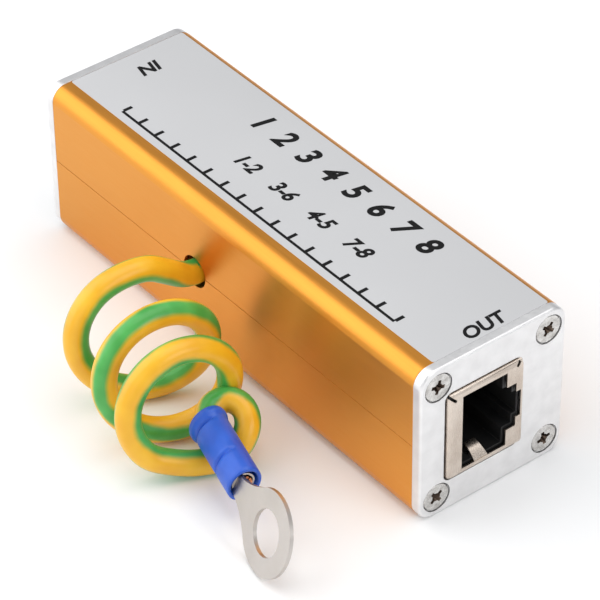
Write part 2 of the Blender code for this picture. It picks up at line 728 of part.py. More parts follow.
def build_insert(end, side):
    """The plastic body of a socket, with the plug's cavity, the contact bay and the finger notches."""
    name = f"socket_insert_{end}"
    half = INSERT_HALF_WIDTH
    body = box_mesh(name, *socket_box(side, (INSERT_FRONT, INSERT_BACK), (INSERT_TOP, INSERT_BOTTOM), (-half, half)))
    insert = add_part(name, body, "black_plastic")
    cavity = along_x(f"{name}_cavity", [mouth_ring(-MOUTH_REVEAL)], socket_x(side, 0), socket_x(side, CAVITY_DEPTH))
    boolean(insert, add_cutter(f"{name}_cavity", cavity), "DIFFERENCE")
    bay_half = CONTACT_COUNT * CONTACT_PITCH / 2
    cavity_top = SOCKET_CENTRE_Y - MOUTH_TOP + MOUTH_REVEAL
    roof = INSERT_TOP + CONTACT_ROOF
    groove_front = CONTACT_NOSE - CONTACT_NOSE_RADIUS - CONTACT_THICKNESS / 2 - GAP
    bay_front = CAVITY_DEPTH + CAVITY_BACK_WALL
    bm = bmesh.new()
    add_box(bm, *socket_box(side, (groove_front, bay_front + GAP), (roof, cavity_top + GAP), (-bay_half, bay_half)))
    boolean(insert, add_cutter(f"{name}_groove", mesh_from("groove", bm)), "DIFFERENCE")
    bm = bmesh.new()
    bay_side = half - CAVITY_BACK_WALL
    add_box(bm, *socket_box(side, (bay_front, SOCKET_DEPTH), (roof, SOCKET_HEIGHT), (-bay_side, bay_side)))
    boolean(insert, add_cutter(f"{name}_bay", mesh_from("bay", bm)), "DIFFERENCE")
    bm = bmesh.new()
    middle = SOCKET_CENTRE_Y + FINGER_CENTRE
    notch = (middle - FINGER_WIDTH / 2 - GAP, middle + FINGER_WIDTH / 2 + GAP)
    inner, outer = MOUTH_WIDTH / 2 - FINGER_LEAN, SOCKET_WIDTH / 2
    for z_range in ((-outer, -inner), (inner, outer)):
        add_box(bm, *socket_box(side, (0, FINGER_REACH + GAP), notch, z_range))
    boolean(insert, add_cutter(f"{name}_notches", mesh_from("notches", bm)), "DIFFERENCE")


def contact_route(side, index):
    """The bent wire of one spring contact: pin, roof run, rounded nose and slanting spring."""
    z = SEAM_Z + (index - (CONTACT_COUNT - 1) / 2) * CONTACT_PITCH
    row = PIN_ROW_PLACES[index % len(PIN_ROW_PLACES)]
    bend = CONTACT_NOSE_RADIUS
    pin_end = BOARD_Y + BOARD_THICKNESS + PIN_PROUD
    path = [(row, pin_end), (row, CONTACT_TOP + bend)]
    path += arc((row - bend, CONTACT_TOP + bend), bend, 0, -90, 3)[1:]
    path += arc((CONTACT_NOSE, CONTACT_TOP + bend), bend, 270, 150, 4)
    path.append((CONTACT_TIP_DEPTH, CONTACT_TOP + CONTACT_TIP_DROP))
    return [(socket_x(side, depth), y, z) for depth, y in path]


def build_contacts(end, side):
    for index in range(CONTACT_COUNT):
        name = f"contact_{end}_{index + 1}"
        curve = tube_curve(name, contact_route(side, index), CONTACT_THICKNESS / 2, 0)
        add_part(name, curve, "contact_gold")


def board_holes():
    """Cutters for the contact pins, the shield legs and the bared end of the lead."""
    bm = bmesh.new()
    low, high = BOARD_Y - GAP, BOARD_Y + BOARD_THICKNESS + GAP
    for side in (-1, 1):
        for index in range(CONTACT_COUNT):
            x, _, z = contact_route(side, index)[0]
            add_cylinder(bm, (x, low, z), (x, high, z), PIN_HOLE_RADIUS, 10)
        for edge in (-1, 1):
            outer = edge * (SOCKET_WIDTH / 2 + GAP)
            inner = edge * (SOCKET_WIDTH / 2 - SHEET - GAP)
            depths = (LEG_PLACE - LEG_WIDTH / 2 - GAP, LEG_PLACE + LEG_WIDTH / 2 + GAP)
            add_box(bm, *socket_box(side, depths, (low, high), sorted((inner, outer))))
    add_cylinder(bm, (LEAD_HOLE_X, low, SEAM_Z), (LEAD_HOLE_X, high, SEAM_Z), CORE_RADIUS + GAP, 16)
    return add_cutter("board_holes", mesh_from("board_holes", bm))


def build_board():
    edge = WALL + GAP
    mesh = box_mesh(
        "circuit_board",
        (-BOARD_HALF_LENGTH, BOARD_Y, edge),
        (BOARD_HALF_LENGTH, BOARD_Y + BOARD_THICKNESS, CASE_HEIGHT - edge),
    )
    board = add_part("circuit_board", mesh, "board_green")
    boolean(board, board_holes(), "DIFFERENCE")


def row_heights():
    return [SEAM_Z + (row - (ROW_COUNT - 1) / 2) * ROW_PITCH for row in range(ROW_COUNT)]


def gas_tube_mesh():
    """A gas discharge tube with three square electrodes on a ceramic barrel, along X."""
    half, cap = GAS_TUBE_LENGTH / 2, GAS_TUBE_CAP / 2
    bm = bmesh.new()
    inside = half - GAS_TUBE_ELECTRODE / 2
    add_cylinder(bm, (-inside, 0, 0), (inside, 0, 0), GAS_TUBE_BARREL_RADIUS, 20)
    shapes = [mesh_from("barrel", bm)]
    for start in (-half, -GAS_TUBE_ELECTRODE / 2, half - GAS_TUBE_ELECTRODE):
        shapes.append(box_mesh("electrode", (start, -cap, -cap), (start + GAS_TUBE_ELECTRODE, cap, cap)))
    return smooth(united("gas_tube", shapes))


def diode_mesh():
    """A diode array in a small moulded package with legs on both long sides."""
    length, height, width = (size / 2 for size in DIODE_SIZE)
    leg_x, leg_y, leg_z = DIODE_LEG
    shapes = [box_mesh("body", (-length, -height, -width), (length, height, width))]
    for row in range(DIODE_LEG_ROWS):
        middle = (row - (DIODE_LEG_ROWS - 1) / 2) * DIODE_LEG_PITCH
        low = (middle - leg_x / 2, height - 2 * leg_y, -width - leg_z)
        high = (middle + leg_x / 2, height - leg_y, width + leg_z)
        shapes.append(box_mesh("legs", low, high))
    return united("diode_array", shapes)


def build_board_parts():
    """Gas tubes, series resistors and diode arrays, seated on the board in rows."""
    tube, diode = gas_tube_mesh(), diode_mesh()
    length, height, width = (size / 2 for size in RESISTOR_SIZE)
    chip = box_mesh("resistor", (-length, -height, -width), (length, height, width))
    kinds = (
        ("gas_tube", tube, "tube_ceramic", GAS_TUBE_PLACE, GAS_TUBE_CAP / 2),
        ("resistor_array", chip, "chip_ceramic", RESISTOR_PLACE, height),
        ("diode_array", diode, "diode_epoxy", DIODE_PLACE, DIODE_SIZE[1] / 2),
    )
    for name, mesh, finish, x, half_height in kinds:
        for row, z in enumerate(row_heights(), start=1):
            add_part(f"{name}_{row}", mesh, finish, (x, BOARD_Y - GAP - half_height, z))


def coil_point(turn):
    """The middle of the lead after a number of turns, counted from the top of the first loop.

    Every loop stands on the surface, and the coil advances along its heading.
    """
    along = Vector((math.cos(COIL_HEADING), math.sin(COIL_HEADING), 0))
    across = along.cross(Vector((0, 0, 1)))
    advance = COIL_ADVANCE[0] * turn + COIL_ADVANCE[1] * turn**2
    angle = 2 * math.pi * turn + COIL_PHASE
    side = (COIL_SIDE_RADIUS[0] + COIL_SIDE_RADIUS[1] * turn) * math.sin(angle)
    rise = (COIL_RISE_RADIUS[0] + COIL_RISE_RADIUS[1] * turn) * (1 + math.cos(angle))
    return Vector((*COIL_START, LEAD_RADIUS + FLOOR_CLEARANCE + rise)) + along * advance + across * side


def build_lead():
    """The earth lead: its end on the board, the stretch to the coil, the coil and the stretch to the terminal."""
    outside = -CASE_WIDTH / 2 - GAP
    strip = BOARD_Y - CORE_SHOW
    inner = [(LEAD_HOLE_X, y, SEAM_Z) for y in (outside, strip)]
    add_part("earth_lead_inner", tube_curve("earth_lead_inner", inner, LEAD_RADIUS, 4), "lead_yellow")
    core = [(LEAD_HOLE_X, y, SEAM_Z) for y in (strip + GAP, BOARD_Y + BOARD_THICKNESS + PIN_PROUD)]
    add_part("earth_core_inner", tube_curve("earth_core_inner", core, CORE_RADIUS, 2), "copper")

    start = smooth_route([(LEAD_HOLE_X, outside - GAP, SEAM_Z), *LEAD_START_POINTS], LEAD_STEP)
    add_part("earth_lead_start", tube_curve("earth_lead_start", start, LEAD_RADIUS, LEAD_SIDES), "lead_yellow")

    bm = bmesh.new()
    along = Vector((math.cos(COIL_HEADING), math.sin(COIL_HEADING), 0))
    axis = Vector((*COIL_START, COIL_SOLID_RADIUS + FLOOR_CLEARANCE))
    add_cylinder(bm, axis + along * COIL_SOLID_START, axis + along * COIL_SOLID_END, COIL_SOLID_RADIUS, 32)
    add_part("earth_lead_coil", smooth(mesh_from("earth_lead_coil", bm)), "lead_yellow")

    route = [coil_point(turn) for turn in LEAD_END_TURNS] + [Vector(p) for p in LEAD_END_POINTS]
    end = smooth_route([*route, terminal_point(-LEAD_STRAIGHT), terminal_point(-GAP)], LEAD_STEP)
    add_part("earth_lead_end", tube_curve("earth_lead_end", end, LEAD_RADIUS, LEAD_SIDES), "lead_yellow")


def terminal_place():
    """The terminal's frame: X along the barrel from the wire entry, Z square to the ring's face."""
    a, b, c = TERMINAL_TURN
    turn = Matrix.Rotation(c, 4, "Z") @ Matrix.Rotation(b, 4, "Y") @ Matrix.Rotation(a, 4, "X")
    return Matrix.Translation(RING_CENTRE) @ turn @ Matrix.Translation((-ENTRY_TO_RING, 0, -BARREL_BELOW_RING))


def terminal_point(along):
    """A point on the barrel's axis, so far from the wire entry."""
    return terminal_place() @ Vector((along, 0, 0))


def neck_outline():
    """The flat ring and its neck in the terminal's (x, y), which widens in a curve from the barrel."""
    centre = (ENTRY_TO_RING, 0)
    shoulder = math.degrees(RING_SHOULDER_ANGLE)
    ring = arc(centre, RING_RADIUS, -shoulder, shoulder, 28)
    neck = (BARREL_END - TERMINAL_SHEET / 2, NECK_HALF_WIDTH)
    pull = (BARREL_END + NECK_SHOULDER, NECK_HALF_WIDTH + TERMINAL_SHEET / 2)
    top = ring[-1]
    curve = []
    for i in range(1, 6):
        t = i / 6
        weights = ((1 - t) ** 2, 2 * t * (1 - t), t**2)
        curve.append(tuple(sum(w * p[k] for w, p in zip(weights, (top, pull, neck))) for k in range(2)))
    upper = [*curve, neck]
    return ring + upper + [(x, -y) for x, y in reversed(upper)]


def build_terminal():
    """Crimped ring terminal: tinned ring and barrel, blue sleeve, and the lead's strands in the barrel."""
    place = terminal_place()
    lift = Matrix.Translation((0, 0, BARREL_BELOW_RING))
    hole = circle((ENTRY_TO_RING, 0), RING_HOLE_RADIUS, 28)
    ring = extruded("ring", [neck_outline(), hole], TERMINAL_SHEET, lift)
    quarter = Matrix.Rotation(math.pi / 2, 4, "Y")
    bore = BARREL_RADIUS - TERMINAL_SHEET
    barrel = turned(
        "barrel",
        [(bore, BARREL_END), (BARREL_RADIUS, BARREL_END), (BARREL_RADIUS, BARREL_START), (bore, BARREL_START)],
        24,
        closed=True,
    )
    barrel.transform(quarter)
    terminal = united("ring_terminal", [ring, barrel])
    terminal.transform(place)
    add_part("ring_terminal", smooth(terminal), "tinned_copper")

    inside = (BARREL_RADIUS + GAP) / SLEEVE_FLATNESS
    outside = inside + SLEEVE_WALL
    lip = outside + SLEEVE_LIP
    profile = [(inside, SLEEVE_LENGTH), (outside, SLEEVE_LENGTH), (outside, SLEEVE_LIP_LENGTH + SLEEVE_LIP)]
    profile += [(lip, SLEEVE_LIP_LENGTH), (lip, SLEEVE_LIP), (outside, 0), (inside, 0)]
    sleeve = turned("terminal_sleeve", profile, 32, closed=True)
    sleeve.transform(place @ Matrix.Diagonal((1, 1, SLEEVE_FLATNESS, 1)) @ quarter)
    add_part("terminal_sleeve", smooth(sleeve), "sleeve_blue")

    strands = [terminal_point(along) for along in (GAP, BARREL_END - STRANDS_SHORT)]
    add_part("wire_strands", tube_curve("wire_strands", strands, STRAND_RADIUS, 3), "copper")


def build():
    build_case()
    build_label()
    for end, side in (("out", 1), ("in", -1)):
        build_end_plate(f"end_plate_{end}", side)
        build_shield(end, side)
        build_insert(end, side)
        build_contacts(end, side)
    build_screws()
    build_board()
    build_board_parts()
    build_lead()
    build_terminal()


build()
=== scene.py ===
"""Visual model of a surge protector for a network line, with its yellow and green earth lead.

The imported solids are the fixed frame. Sizes are in millimetres in the classes below and become
metres where a mesh is finished. X runs from the IN end to the OUT end, the lead leaves towards -Y,
and Z = 0 is the surface that the case stands on.
"""

import logging
import math
from collections.abc import Callable, Iterable, Sequence
from dataclasses import dataclass, field
from enum import Enum

import bmesh
import bpy
from mathutils import Matrix, Vector


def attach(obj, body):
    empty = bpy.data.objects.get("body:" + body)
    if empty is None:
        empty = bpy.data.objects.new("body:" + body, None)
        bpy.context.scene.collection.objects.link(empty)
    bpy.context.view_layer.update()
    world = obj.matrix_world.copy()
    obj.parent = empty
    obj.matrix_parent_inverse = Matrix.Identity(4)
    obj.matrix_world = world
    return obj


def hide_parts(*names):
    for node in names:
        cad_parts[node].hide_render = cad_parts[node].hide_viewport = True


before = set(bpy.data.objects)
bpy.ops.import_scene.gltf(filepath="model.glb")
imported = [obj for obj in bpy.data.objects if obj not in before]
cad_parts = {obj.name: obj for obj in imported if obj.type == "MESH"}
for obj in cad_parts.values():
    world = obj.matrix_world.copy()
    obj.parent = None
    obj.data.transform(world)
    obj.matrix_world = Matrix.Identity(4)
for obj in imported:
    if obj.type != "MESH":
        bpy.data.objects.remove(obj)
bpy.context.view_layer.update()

log = logging.getLogger("surge_protector")
MM = 0.001
BODY = "root"
# Places closer than this, in mm, count as the same place.
NEAR = 0.01
# How far the tool of a cut reaches past the surface that it opens, in mm.
PAST = 0.5
# Blender's noise lies mostly between these values, and this spreads it over the whole range.
NOISE_SPAN = {"From Min": 0.3, "From Max": 0.7}
Point = Sequence[float]
Mesh = bmesh.types.BMesh
Keys = Sequence[tuple[int, Vector]]
Sides = dict[float, tuple[float, float, float]]


class End(Enum):
    """The case's two ends, each with the side of X that it faces."""

    OUT = 1
    IN = -1

    @property
    def word(self) -> str:
        """The end's word in the names of the nodes."""
        return self.name.lower()


# Nodes and colours


def linear(code: str) -> tuple[float, float, float, float]:
    """Turns an sRGB hex colour to linear.

    Args:
        code: six hex digits.

    Returns:
        Red, green and blue, with an alpha of one.
    """
    values = [int(code[i : i + 2], 16) / 255 for i in (0, 2, 4)]
    red, green, blue = (v / 12.92 if v <= 0.04045 else ((v + 0.055) / 1.055) ** 2.4 for v in values)
    return red, green, blue, 1.0


def add_node(
    tree: bpy.types.NodeTree, kind: str, inputs: dict | None = None, **settings: object
) -> bpy.types.Node:
    """Adds a node with its settings, and sets or links its inputs.

    Args:
        tree: the material's or world's node tree.
        kind: the node's type.
        inputs: a value or an output socket for each input's name or number.
        settings: the node's own properties.

    Returns:
        The new node.
    """
    node = tree.nodes.new(kind)
    for name, value in settings.items():
        setattr(node, name, value)
    for key, value in (inputs or {}).items():
        if isinstance(value, bpy.types.NodeSocket):
            tree.links.new(value, node.inputs[key])
        else:
            node.inputs[key].default_value = value
    return node


# Finishes


@dataclass(frozen=True)
class Finish:
    """A real material with its surface: soft patches of colour, and a fine grain in gloss and relief.

    Attributes:
        name: what the material is and how its surface was made.
        slot: the record's material slot.
        colours: the darker and the lighter colour, as sRGB hex.
        roughness: the lowest and highest roughness over the grain.
        metallic: one for a bare or anodised metal.
        ior: refractive index, the default for metals.
        patch: size of the colour patches, in mm.
        grain: size of the fine texture, in mm.
        relief: height of the fine texture, in mm.
        stretch: how far the grain is drawn out along each axis.
    """

    name: str
    slot: str
    colours: tuple[str, str]
    roughness: tuple[float, float]
    metallic: float = 0.0
    ior: float = 1.5
    patch: float = 6.0
    grain: float = 0.3
    relief: float = 0.004
    stretch: tuple[float, float, float] = (1.0, 1.0, 1.0)

    def material(self) -> bpy.types.Material:
        """Makes the material the first time that it is asked for.

        Returns:
            The material.
        """
        made = bpy.data.materials.get(self.name)
        if made:
            return made
        made = bpy.data.materials.new(self.name)
        made.use_nodes = True
        tree = made.node_tree
        shader = tree.nodes["Principled BSDF"]
        shader.inputs["Metallic"].default_value = self.metallic
        shader.inputs["IOR"].default_value = self.ior
        coords = add_node(tree, "ShaderNodeTexCoord")
        grain = self.grain_height(tree, coords.outputs["Object"])
        smoothest, roughest = self.roughness
        limits = {"To Min": smoothest, "To Max": roughest}
        rough = add_node(tree, "ShaderNodeMapRange", {"Value": grain, **NOISE_SPAN, **limits})
        bump = add_node(
            tree, "ShaderNodeBump", {"Height": grain, "Distance": self.relief * MM, "Strength": 1.0}
        )
        tree.links.new(self.base_colour(tree, coords), shader.inputs["Base Color"])
        tree.links.new(rough.outputs["Result"], shader.inputs["Roughness"])
        tree.links.new(bump.outputs["Normal"], shader.inputs["Normal"])
        return made

    def grain_height(self, tree: bpy.types.NodeTree, place: bpy.types.NodeSocket) -> bpy.types.NodeSocket:
        """The height of the fine texture, from 0 to 1.

        Args:
            tree: the material's node tree.
            place: object coordinates.

        Returns:
            The noise's output socket.
        """
        drawn = add_node(
            tree, "ShaderNodeMapping", {"Vector": place, "Scale": tuple(1 / long for long in self.stretch)}
        )
        noise = add_node(
            tree,
            "ShaderNodeTexNoise",
            {"Vector": drawn.outputs["Vector"], "Scale": 1 / (self.grain * MM), "Detail": 3.0},
        )
        return noise.outputs["Fac"]

    def mixed(
        self, tree: bpy.types.NodeTree, factor: bpy.types.NodeSocket, first: object, second: object
    ) -> bpy.types.NodeSocket:
        """Mixes two colours, or colour sockets, by a factor and gives the result's socket."""
        mix = add_node(tree, "ShaderNodeMix", {0: factor, 6: first, 7: second}, data_type="RGBA")
        return mix.outputs[2]

    def patches(self, tree: bpy.types.NodeTree, place: bpy.types.NodeSocket) -> bpy.types.NodeSocket:
        """Soft patches from 0 to 1, at the finish's own patch size.

        Args:
            tree: the material's node tree.
            place: object coordinates.

        Returns:
            The socket that carries the patches.
        """
        noise = add_node(
            tree, "ShaderNodeTexNoise", {"Vector": place, "Scale": 1 / (self.patch * MM), "Detail": 2.0}
        )
        spread = add_node(tree, "ShaderNodeMapRange", {"Value": noise.outputs["Fac"], **NOISE_SPAN})
        return spread.outputs["Result"]

    def base_colour(self, tree: bpy.types.NodeTree, coords: bpy.types.Node) -> bpy.types.NodeSocket:
        """The colour over the surface.

        Args:
            tree: the material's node tree.
            coords: the Texture Coordinate node.

        Returns:
            The socket that carries the colour.
        """
        factor = self.patches(tree, coords.outputs["Object"])
        return self.mixed(tree, factor, linear(self.colours[0]), linear(self.colours[1]))


@dataclass(frozen=True)
class StripedInsulation(Finish):
    """Extruded insulation with two opposite stripes. The UV's second value runs once round the lead.

    Attributes:
        stripe: the stripes' darker and lighter colour.
        share: the part of the way round that each stripe takes.
        edge: the softness of its edge, in parts of the way round.
        quarter: from the middle of a stripe to the middle of the ground beside it.
    """

    stripe: tuple[str, str] = ("000000", "000000")
    share: float = 0.205
    edge: float = 0.055
    quarter: float = 0.25

    def base_colour(self, tree: bpy.types.NodeTree, coords: bpy.types.Node) -> bpy.types.NodeSocket:
        """The yellow of the insulation with the green stripes laid in it.

        Args:
            tree: the material's node tree.
            coords: the Texture Coordinate node.

        Returns:
            The socket that carries the colour.
        """
        factor = self.patches(tree, coords.outputs["Object"])
        ground = self.mixed(tree, factor, linear(self.colours[0]), linear(self.colours[1]))
        stripe = self.mixed(tree, factor, linear(self.stripe[0]), linear(self.stripe[1]))
        around = add_node(tree, "ShaderNodeSeparateXYZ", {0: coords.outputs["UV"]}).outputs["Y"]
        folded = add_node(tree, "ShaderNodeMath", {0: around, 1: self.quarter}, operation="PINGPONG")
        waver = add_node(
            tree,
            "ShaderNodeMath",
            {0: factor, 1: self.edge / 2, 2: folded.outputs[0]},
            operation="MULTIPLY_ADD",
        )
        limits = {"From Min": (self.share - self.edge) / 2, "From Max": self.share / 2 + self.edge}
        blend = add_node(
            tree, "ShaderNodeMapRange", {"Value": waver.outputs[0], **limits}, interpolation_type="SMOOTHSTEP"
        )
        return self.mixed(tree, blend.outputs["Result"], stripe, ground)


# 6063 aluminium, extruded, etched satin and anodised gold: the dye gives a deep yellow-orange metal,
# and the etch over the die's fine lines spreads its reflections into a silky sheen along X.
GOLD_ANODISED = Finish(
    "gold_anodised_extrusion",
    "gold_anodised",
    ("DE963E", "E59D42"),
    (0.33, 0.43),
    metallic=1.0,
    grain=0.25,
    relief=0.0015,
    stretch=(30.0, 1.0, 1.0),
    patch=30.0,
)
# 5052 aluminium plate, stamped and tumbled: pale bare metal, faintly mottled by the tumbling stones.
TUMBLED_ALUMINIUM = Finish(
    "tumbled_aluminium_plate",
    "satin_aluminium",
    ("E6E5E5", "F0EFEF"),
    (0.38, 0.45),
    metallic=1.0,
    grain=0.5,
    relief=0.0012,
    patch=2.4,
)
# Zinc-plated steel, cold headed: bright grey with small flow marks.
PLATED_STEEL = Finish(
    "zinc_plated_steel",
    "screw_steel",
    ("B6B3AF", "E2E0DD"),
    (0.18, 0.34),
    metallic=1.0,
    grain=0.35,
    relief=0.008,
    patch=0.8,
)
# The same steel in the driver recess, coloured a darker brown-grey as painted shade where the recess lies in
# shadow, and dull.
SHADED_RECESS_STEEL = Finish(
    "recess_painted_shade",
    "screw_steel",
    ("5A4A40", "86766A"),
    (0.4, 0.6),
    metallic=1.0,
    grain=0.15,
    relief=0.01,
    patch=0.5,
)
# Polyester label film with a fine matt texture: light grey, a soft sheen and no sharp reflection.
POLYESTER_FILM = Finish(
    "matt_polyester_film",
    "label_film",
    ("BDBDBE", "C2C2C3"),
    (0.38, 0.44),
    ior=1.58,
    grain=0.18,
    relief=0.0006,
    patch=30.0,
)
# Screen-printing ink on the film: a dense matt black that hardly reflects.
PRINT_INK = Finish(
    "screen_print_ink",
    "label_film",
    ("050506", "09090A"),
    (0.55, 0.70),
    ior=1.3,
    grain=0.12,
    relief=0.001,
    patch=2.0,
)
# Nickel-plated brass sheet, rolled and folded: warm silver with faint rolling lines.
NICKEL_SHEET = Finish(
    "nickel_plated_brass_sheet",
    "nickel_sheet",
    ("C9BBAE", "DCD0C4"),
    (0.22, 0.34),
    metallic=1.0,
    grain=0.15,
    relief=0.002,
    stretch=(1.0, 1.0, 12.0),
    patch=3.0,
)
# Glass-filled PBT, moulded: near black with a fine sparked grain.
MOULDED_PBT = Finish(
    "moulded_black_pbt",
    "black_plastic",
    ("060607", "0C0C0D"),
    (0.50, 0.62),
    ior=1.55,
    grain=0.12,
    relief=0.004,
    patch=4.0,
)
# Phosphor bronze with a gold flash: the drawn wire's lines run along it.
GOLD_FLASH = Finish(
    "gold_flashed_bronze",
    "contact_gold",
    ("D9B25A", "EFCB7A"),
    (0.18, 0.28),
    metallic=1.0,
    grain=0.1,
    relief=0.001,
    stretch=(8.0, 1.0, 1.0),
    patch=1.5,
)
# Glass-epoxy board under green solder resist: deep green gloss over the weave.
SOLDER_RESIST = Finish(
    "green_solder_resist",
    "board_green",
    ("0B3D1C", "14562A"),
    (0.25, 0.38),
    ior=1.55,
    grain=0.4,
    relief=0.004,
    patch=5.0,
)
# Fired alumina with tinned electrodes: chalky off-white.
ALUMINA = Finish(
    "fired_alumina",
    "tube_ceramic",
    ("D5D1C8", "E6E3DC"),
    (0.45, 0.60),
    ior=1.7,
    grain=0.15,
    relief=0.004,
    patch=1.0,
)
# Glazed thick-film resistor body: dark grey.
GLAZED_CHIP = Finish(
    "glazed_thick_film",
    "chip_ceramic",
    ("26262A", "343438"),
    (0.30, 0.42),
    ior=1.6,
    grain=0.1,
    relief=0.003,
    patch=0.8,
)
# Moulded epoxy package: dull black with a fine sparked grain.
MOULDED_EPOXY = Finish(
    "moulded_epoxy",
    "diode_epoxy",
    ("18181A", "222224"),
    (0.5, 0.62),
    ior=1.55,
    grain=0.1,
    relief=0.005,
    patch=0.8,
)
# Extruded PVC insulation in the earth colours: warm yellow with a green stripe, a soft plastic gloss
# and the slight waves that the extruder leaves along the lead.
EARTH_PVC = StripedInsulation(
    "extruded_earth_pvc",
    "lead_yellow",
    ("EDAD1C", "F8C028"),
    (0.28, 0.38),
    ior=1.53,
    grain=2.5,
    relief=0.03,
    patch=5.0,
    stripe=("3B9A3C", "58BA5C"),
)
# Soft-drawn copper strands, slightly dulled by handling.
DRAWN_COPPER = Finish(
    "drawn_copper",
    "copper",
    ("A9623E", "DB9268"),
    (0.36, 0.50),
    metallic=1.0,
    grain=0.08,
    relief=0.002,
    patch=0.8,
)
# Vinyl terminal sleeve, moulded: clear deep blue with a soft gloss.
BLUE_VINYL = Finish(
    "moulded_blue_vinyl",
    "sleeve_blue",
    ("1B52BF", "2560D2"),
    (0.30, 0.42),
    ior=1.53,
    grain=0.5,
    relief=0.006,
    patch=3.0,
)
# Copper, stamped and dipped in tin: warm grey with a slightly uneven tin skin.
TINNED_COPPER = Finish(
    "dip_tinned_copper",
    "tinned_copper",
    ("C1BBB5", "CAC4BF"),
    (0.34, 0.42),
    metallic=1.0,
    grain=0.8,
    relief=0.0015,
    patch=6.0,
)
# Matt white background paper: no gloss, and a tone that hardly varies.
WHITE_PAPER = Finish(
    "matt_white_paper",
    "label_film",
    ("F4F4F4", "F8F8F8"),
    (0.8, 0.9),
    grain=2.0,
    relief=0.0,
    patch=60.0,
)


# Mesh tools, all in millimetres until a piece is finished


def box(low: Point, high: Point) -> Mesh:
    """A box between two corners.

    Args:
        low: the corner with the lowest coordinates.
        high: the corner opposite.

    Returns:
        The box.
    """
    low, high = Vector(low), Vector(high)
    bm = bmesh.new()
    place = Matrix.Translation((low + high) / 2) @ Matrix.Diagonal((*(high - low), 1.0))
    bmesh.ops.create_cube(bm, size=1.0, matrix=place)
    return bm


def rounded_slab(
    size: Point,
    corner: float,
    depth: float,
    rim: float = 0.0,
    middle: Point = (0.0, 0.0),
    steps: int = 8,
) -> Mesh:
    """A slab on z = 0 with rounded corners, its top rim rounded too.

    Args:
        size: width and height in x and y.
        corner: the corners' radius.
        depth: how far it reaches up z.
        rim: the radius along the top rim.
        middle: the middle in x and y.
        steps: segments of a corner.

    Returns:
        The slab as a closed mesh.
    """
    bm = bmesh.new()
    bmesh.ops.create_grid(bm, x_segments=1, y_segments=1, size=0.5)
    bmesh.ops.scale(bm, vec=(size[0], size[1], 1), verts=bm.verts)
    bmesh.ops.bevel(
        bm, geom=bm.verts[:], offset=corner, segments=steps, affect="VERTICES", profile=0.5, material=-1
    )
    drawn_out(bm, bmesh.ops.extrude_face_region(bm, geom=bm.faces[:])["geom"], (0, 0, depth))
    if rim:
        edges = [e for e in bm.edges if all(v.co.z > depth - NEAR for v in e.verts)]
        bmesh.ops.bevel(bm, geom=edges, offset=rim, segments=4, affect="EDGES", profile=0.5, material=-1)
    bmesh.ops.translate(bm, vec=(middle[0], middle[1], 0), verts=bm.verts)
    bmesh.ops.recalc_face_normals(bm, faces=bm.faces)
    return bm


def turned(profile: Sequence[Point], steps: int, closed: bool = False) -> Mesh:
    """Turns a profile of (along x, radius) points about the X axis.

    Args:
        profile: the points, from one end to the other.
        steps: steps of the full turn.
        closed: joins the last point to the first, for a ring with a bore.

    Returns:
        The turned shape.
    """
    bm = bmesh.new()
    verts = [bm.verts.new((along, 0, radius)) for along, radius in profile]
    following = verts[1:] + (verts[:1] if closed else [])
    edges = [bm.edges.new(pair) for pair in zip(verts, following)]
    bmesh.ops.spin(
        bm,
        geom=verts + edges,
        cent=(0, 0, 0),
        axis=(1, 0, 0),
        dvec=(0, 0, 0),
        angle=math.tau,
        steps=steps,
        use_merge=True,
        use_duplicate=False,
    )
    bmesh.ops.remove_doubles(bm, verts=bm.verts, dist=1e-5)
    bmesh.ops.recalc_face_normals(bm, faces=bm.faces)
    return bm


def drawn_out(bm: Mesh, made: Iterable[object], vec: Point) -> None:
    """Moves the vertices among what an extrusion made."""
    bmesh.ops.translate(bm, vec=vec, verts=[v for v in made if isinstance(v, bmesh.types.BMVert)])


def moved(bm: Mesh, place: Matrix) -> Mesh:
    """The same mesh, put through a transform."""
    bmesh.ops.transform(bm, matrix=place, verts=bm.verts)
    return bm


def joined(shapes: Iterable[Mesh]) -> Mesh:
    """Puts several shapes into one mesh.

    Args:
        shapes: the shapes, which are freed.

    Returns:
        The mesh that holds them all.
    """
    whole = bmesh.new()
    for shape in shapes:
        mesh = bpy.data.meshes.new("joined")
        shape.to_mesh(mesh)
        shape.free()
        whole.from_mesh(mesh)
        bpy.data.meshes.remove(mesh)
    return whole


def carved(bm: Mesh, tools: Iterable[Mesh]) -> Mesh:
    """Cuts tools out of a shape, one by one, with exact booleans.

    Args:
        bm: the shape, which is freed.
        tools: the tools, which are freed too.

    Returns:
        What is left of the shape.
    """
    holders = []
    for shape in (bm, *tools):
        bmesh.ops.recalc_face_normals(shape, faces=shape.faces)
        mesh = bpy.data.meshes.new("carved")
        shape.to_mesh(mesh)
        shape.free()
        holder = bpy.data.objects.new("carved", mesh)
        bpy.context.scene.collection.objects.link(holder)
        holders.append(holder)
    base, others = holders[0], holders[1:]
    for other in others:
        step = base.modifiers.new("carve", "BOOLEAN")
        step.operation, step.object, step.solver = "DIFFERENCE", other, "EXACT"
    bpy.context.view_layer.update()
    result = bmesh.new()
    result.from_object(base, bpy.context.evaluated_depsgraph_get())
    for holder in holders:
        mesh = holder.data
        bpy.data.objects.remove(holder, do_unlink=True)
        bpy.data.meshes.remove(mesh)
    bmesh.ops.remove_doubles(result, verts=result.verts, dist=1e-4)
    bmesh.ops.dissolve_limit(result, angle_limit=math.radians(0.5), verts=result.verts, edges=result.edges)
    return result


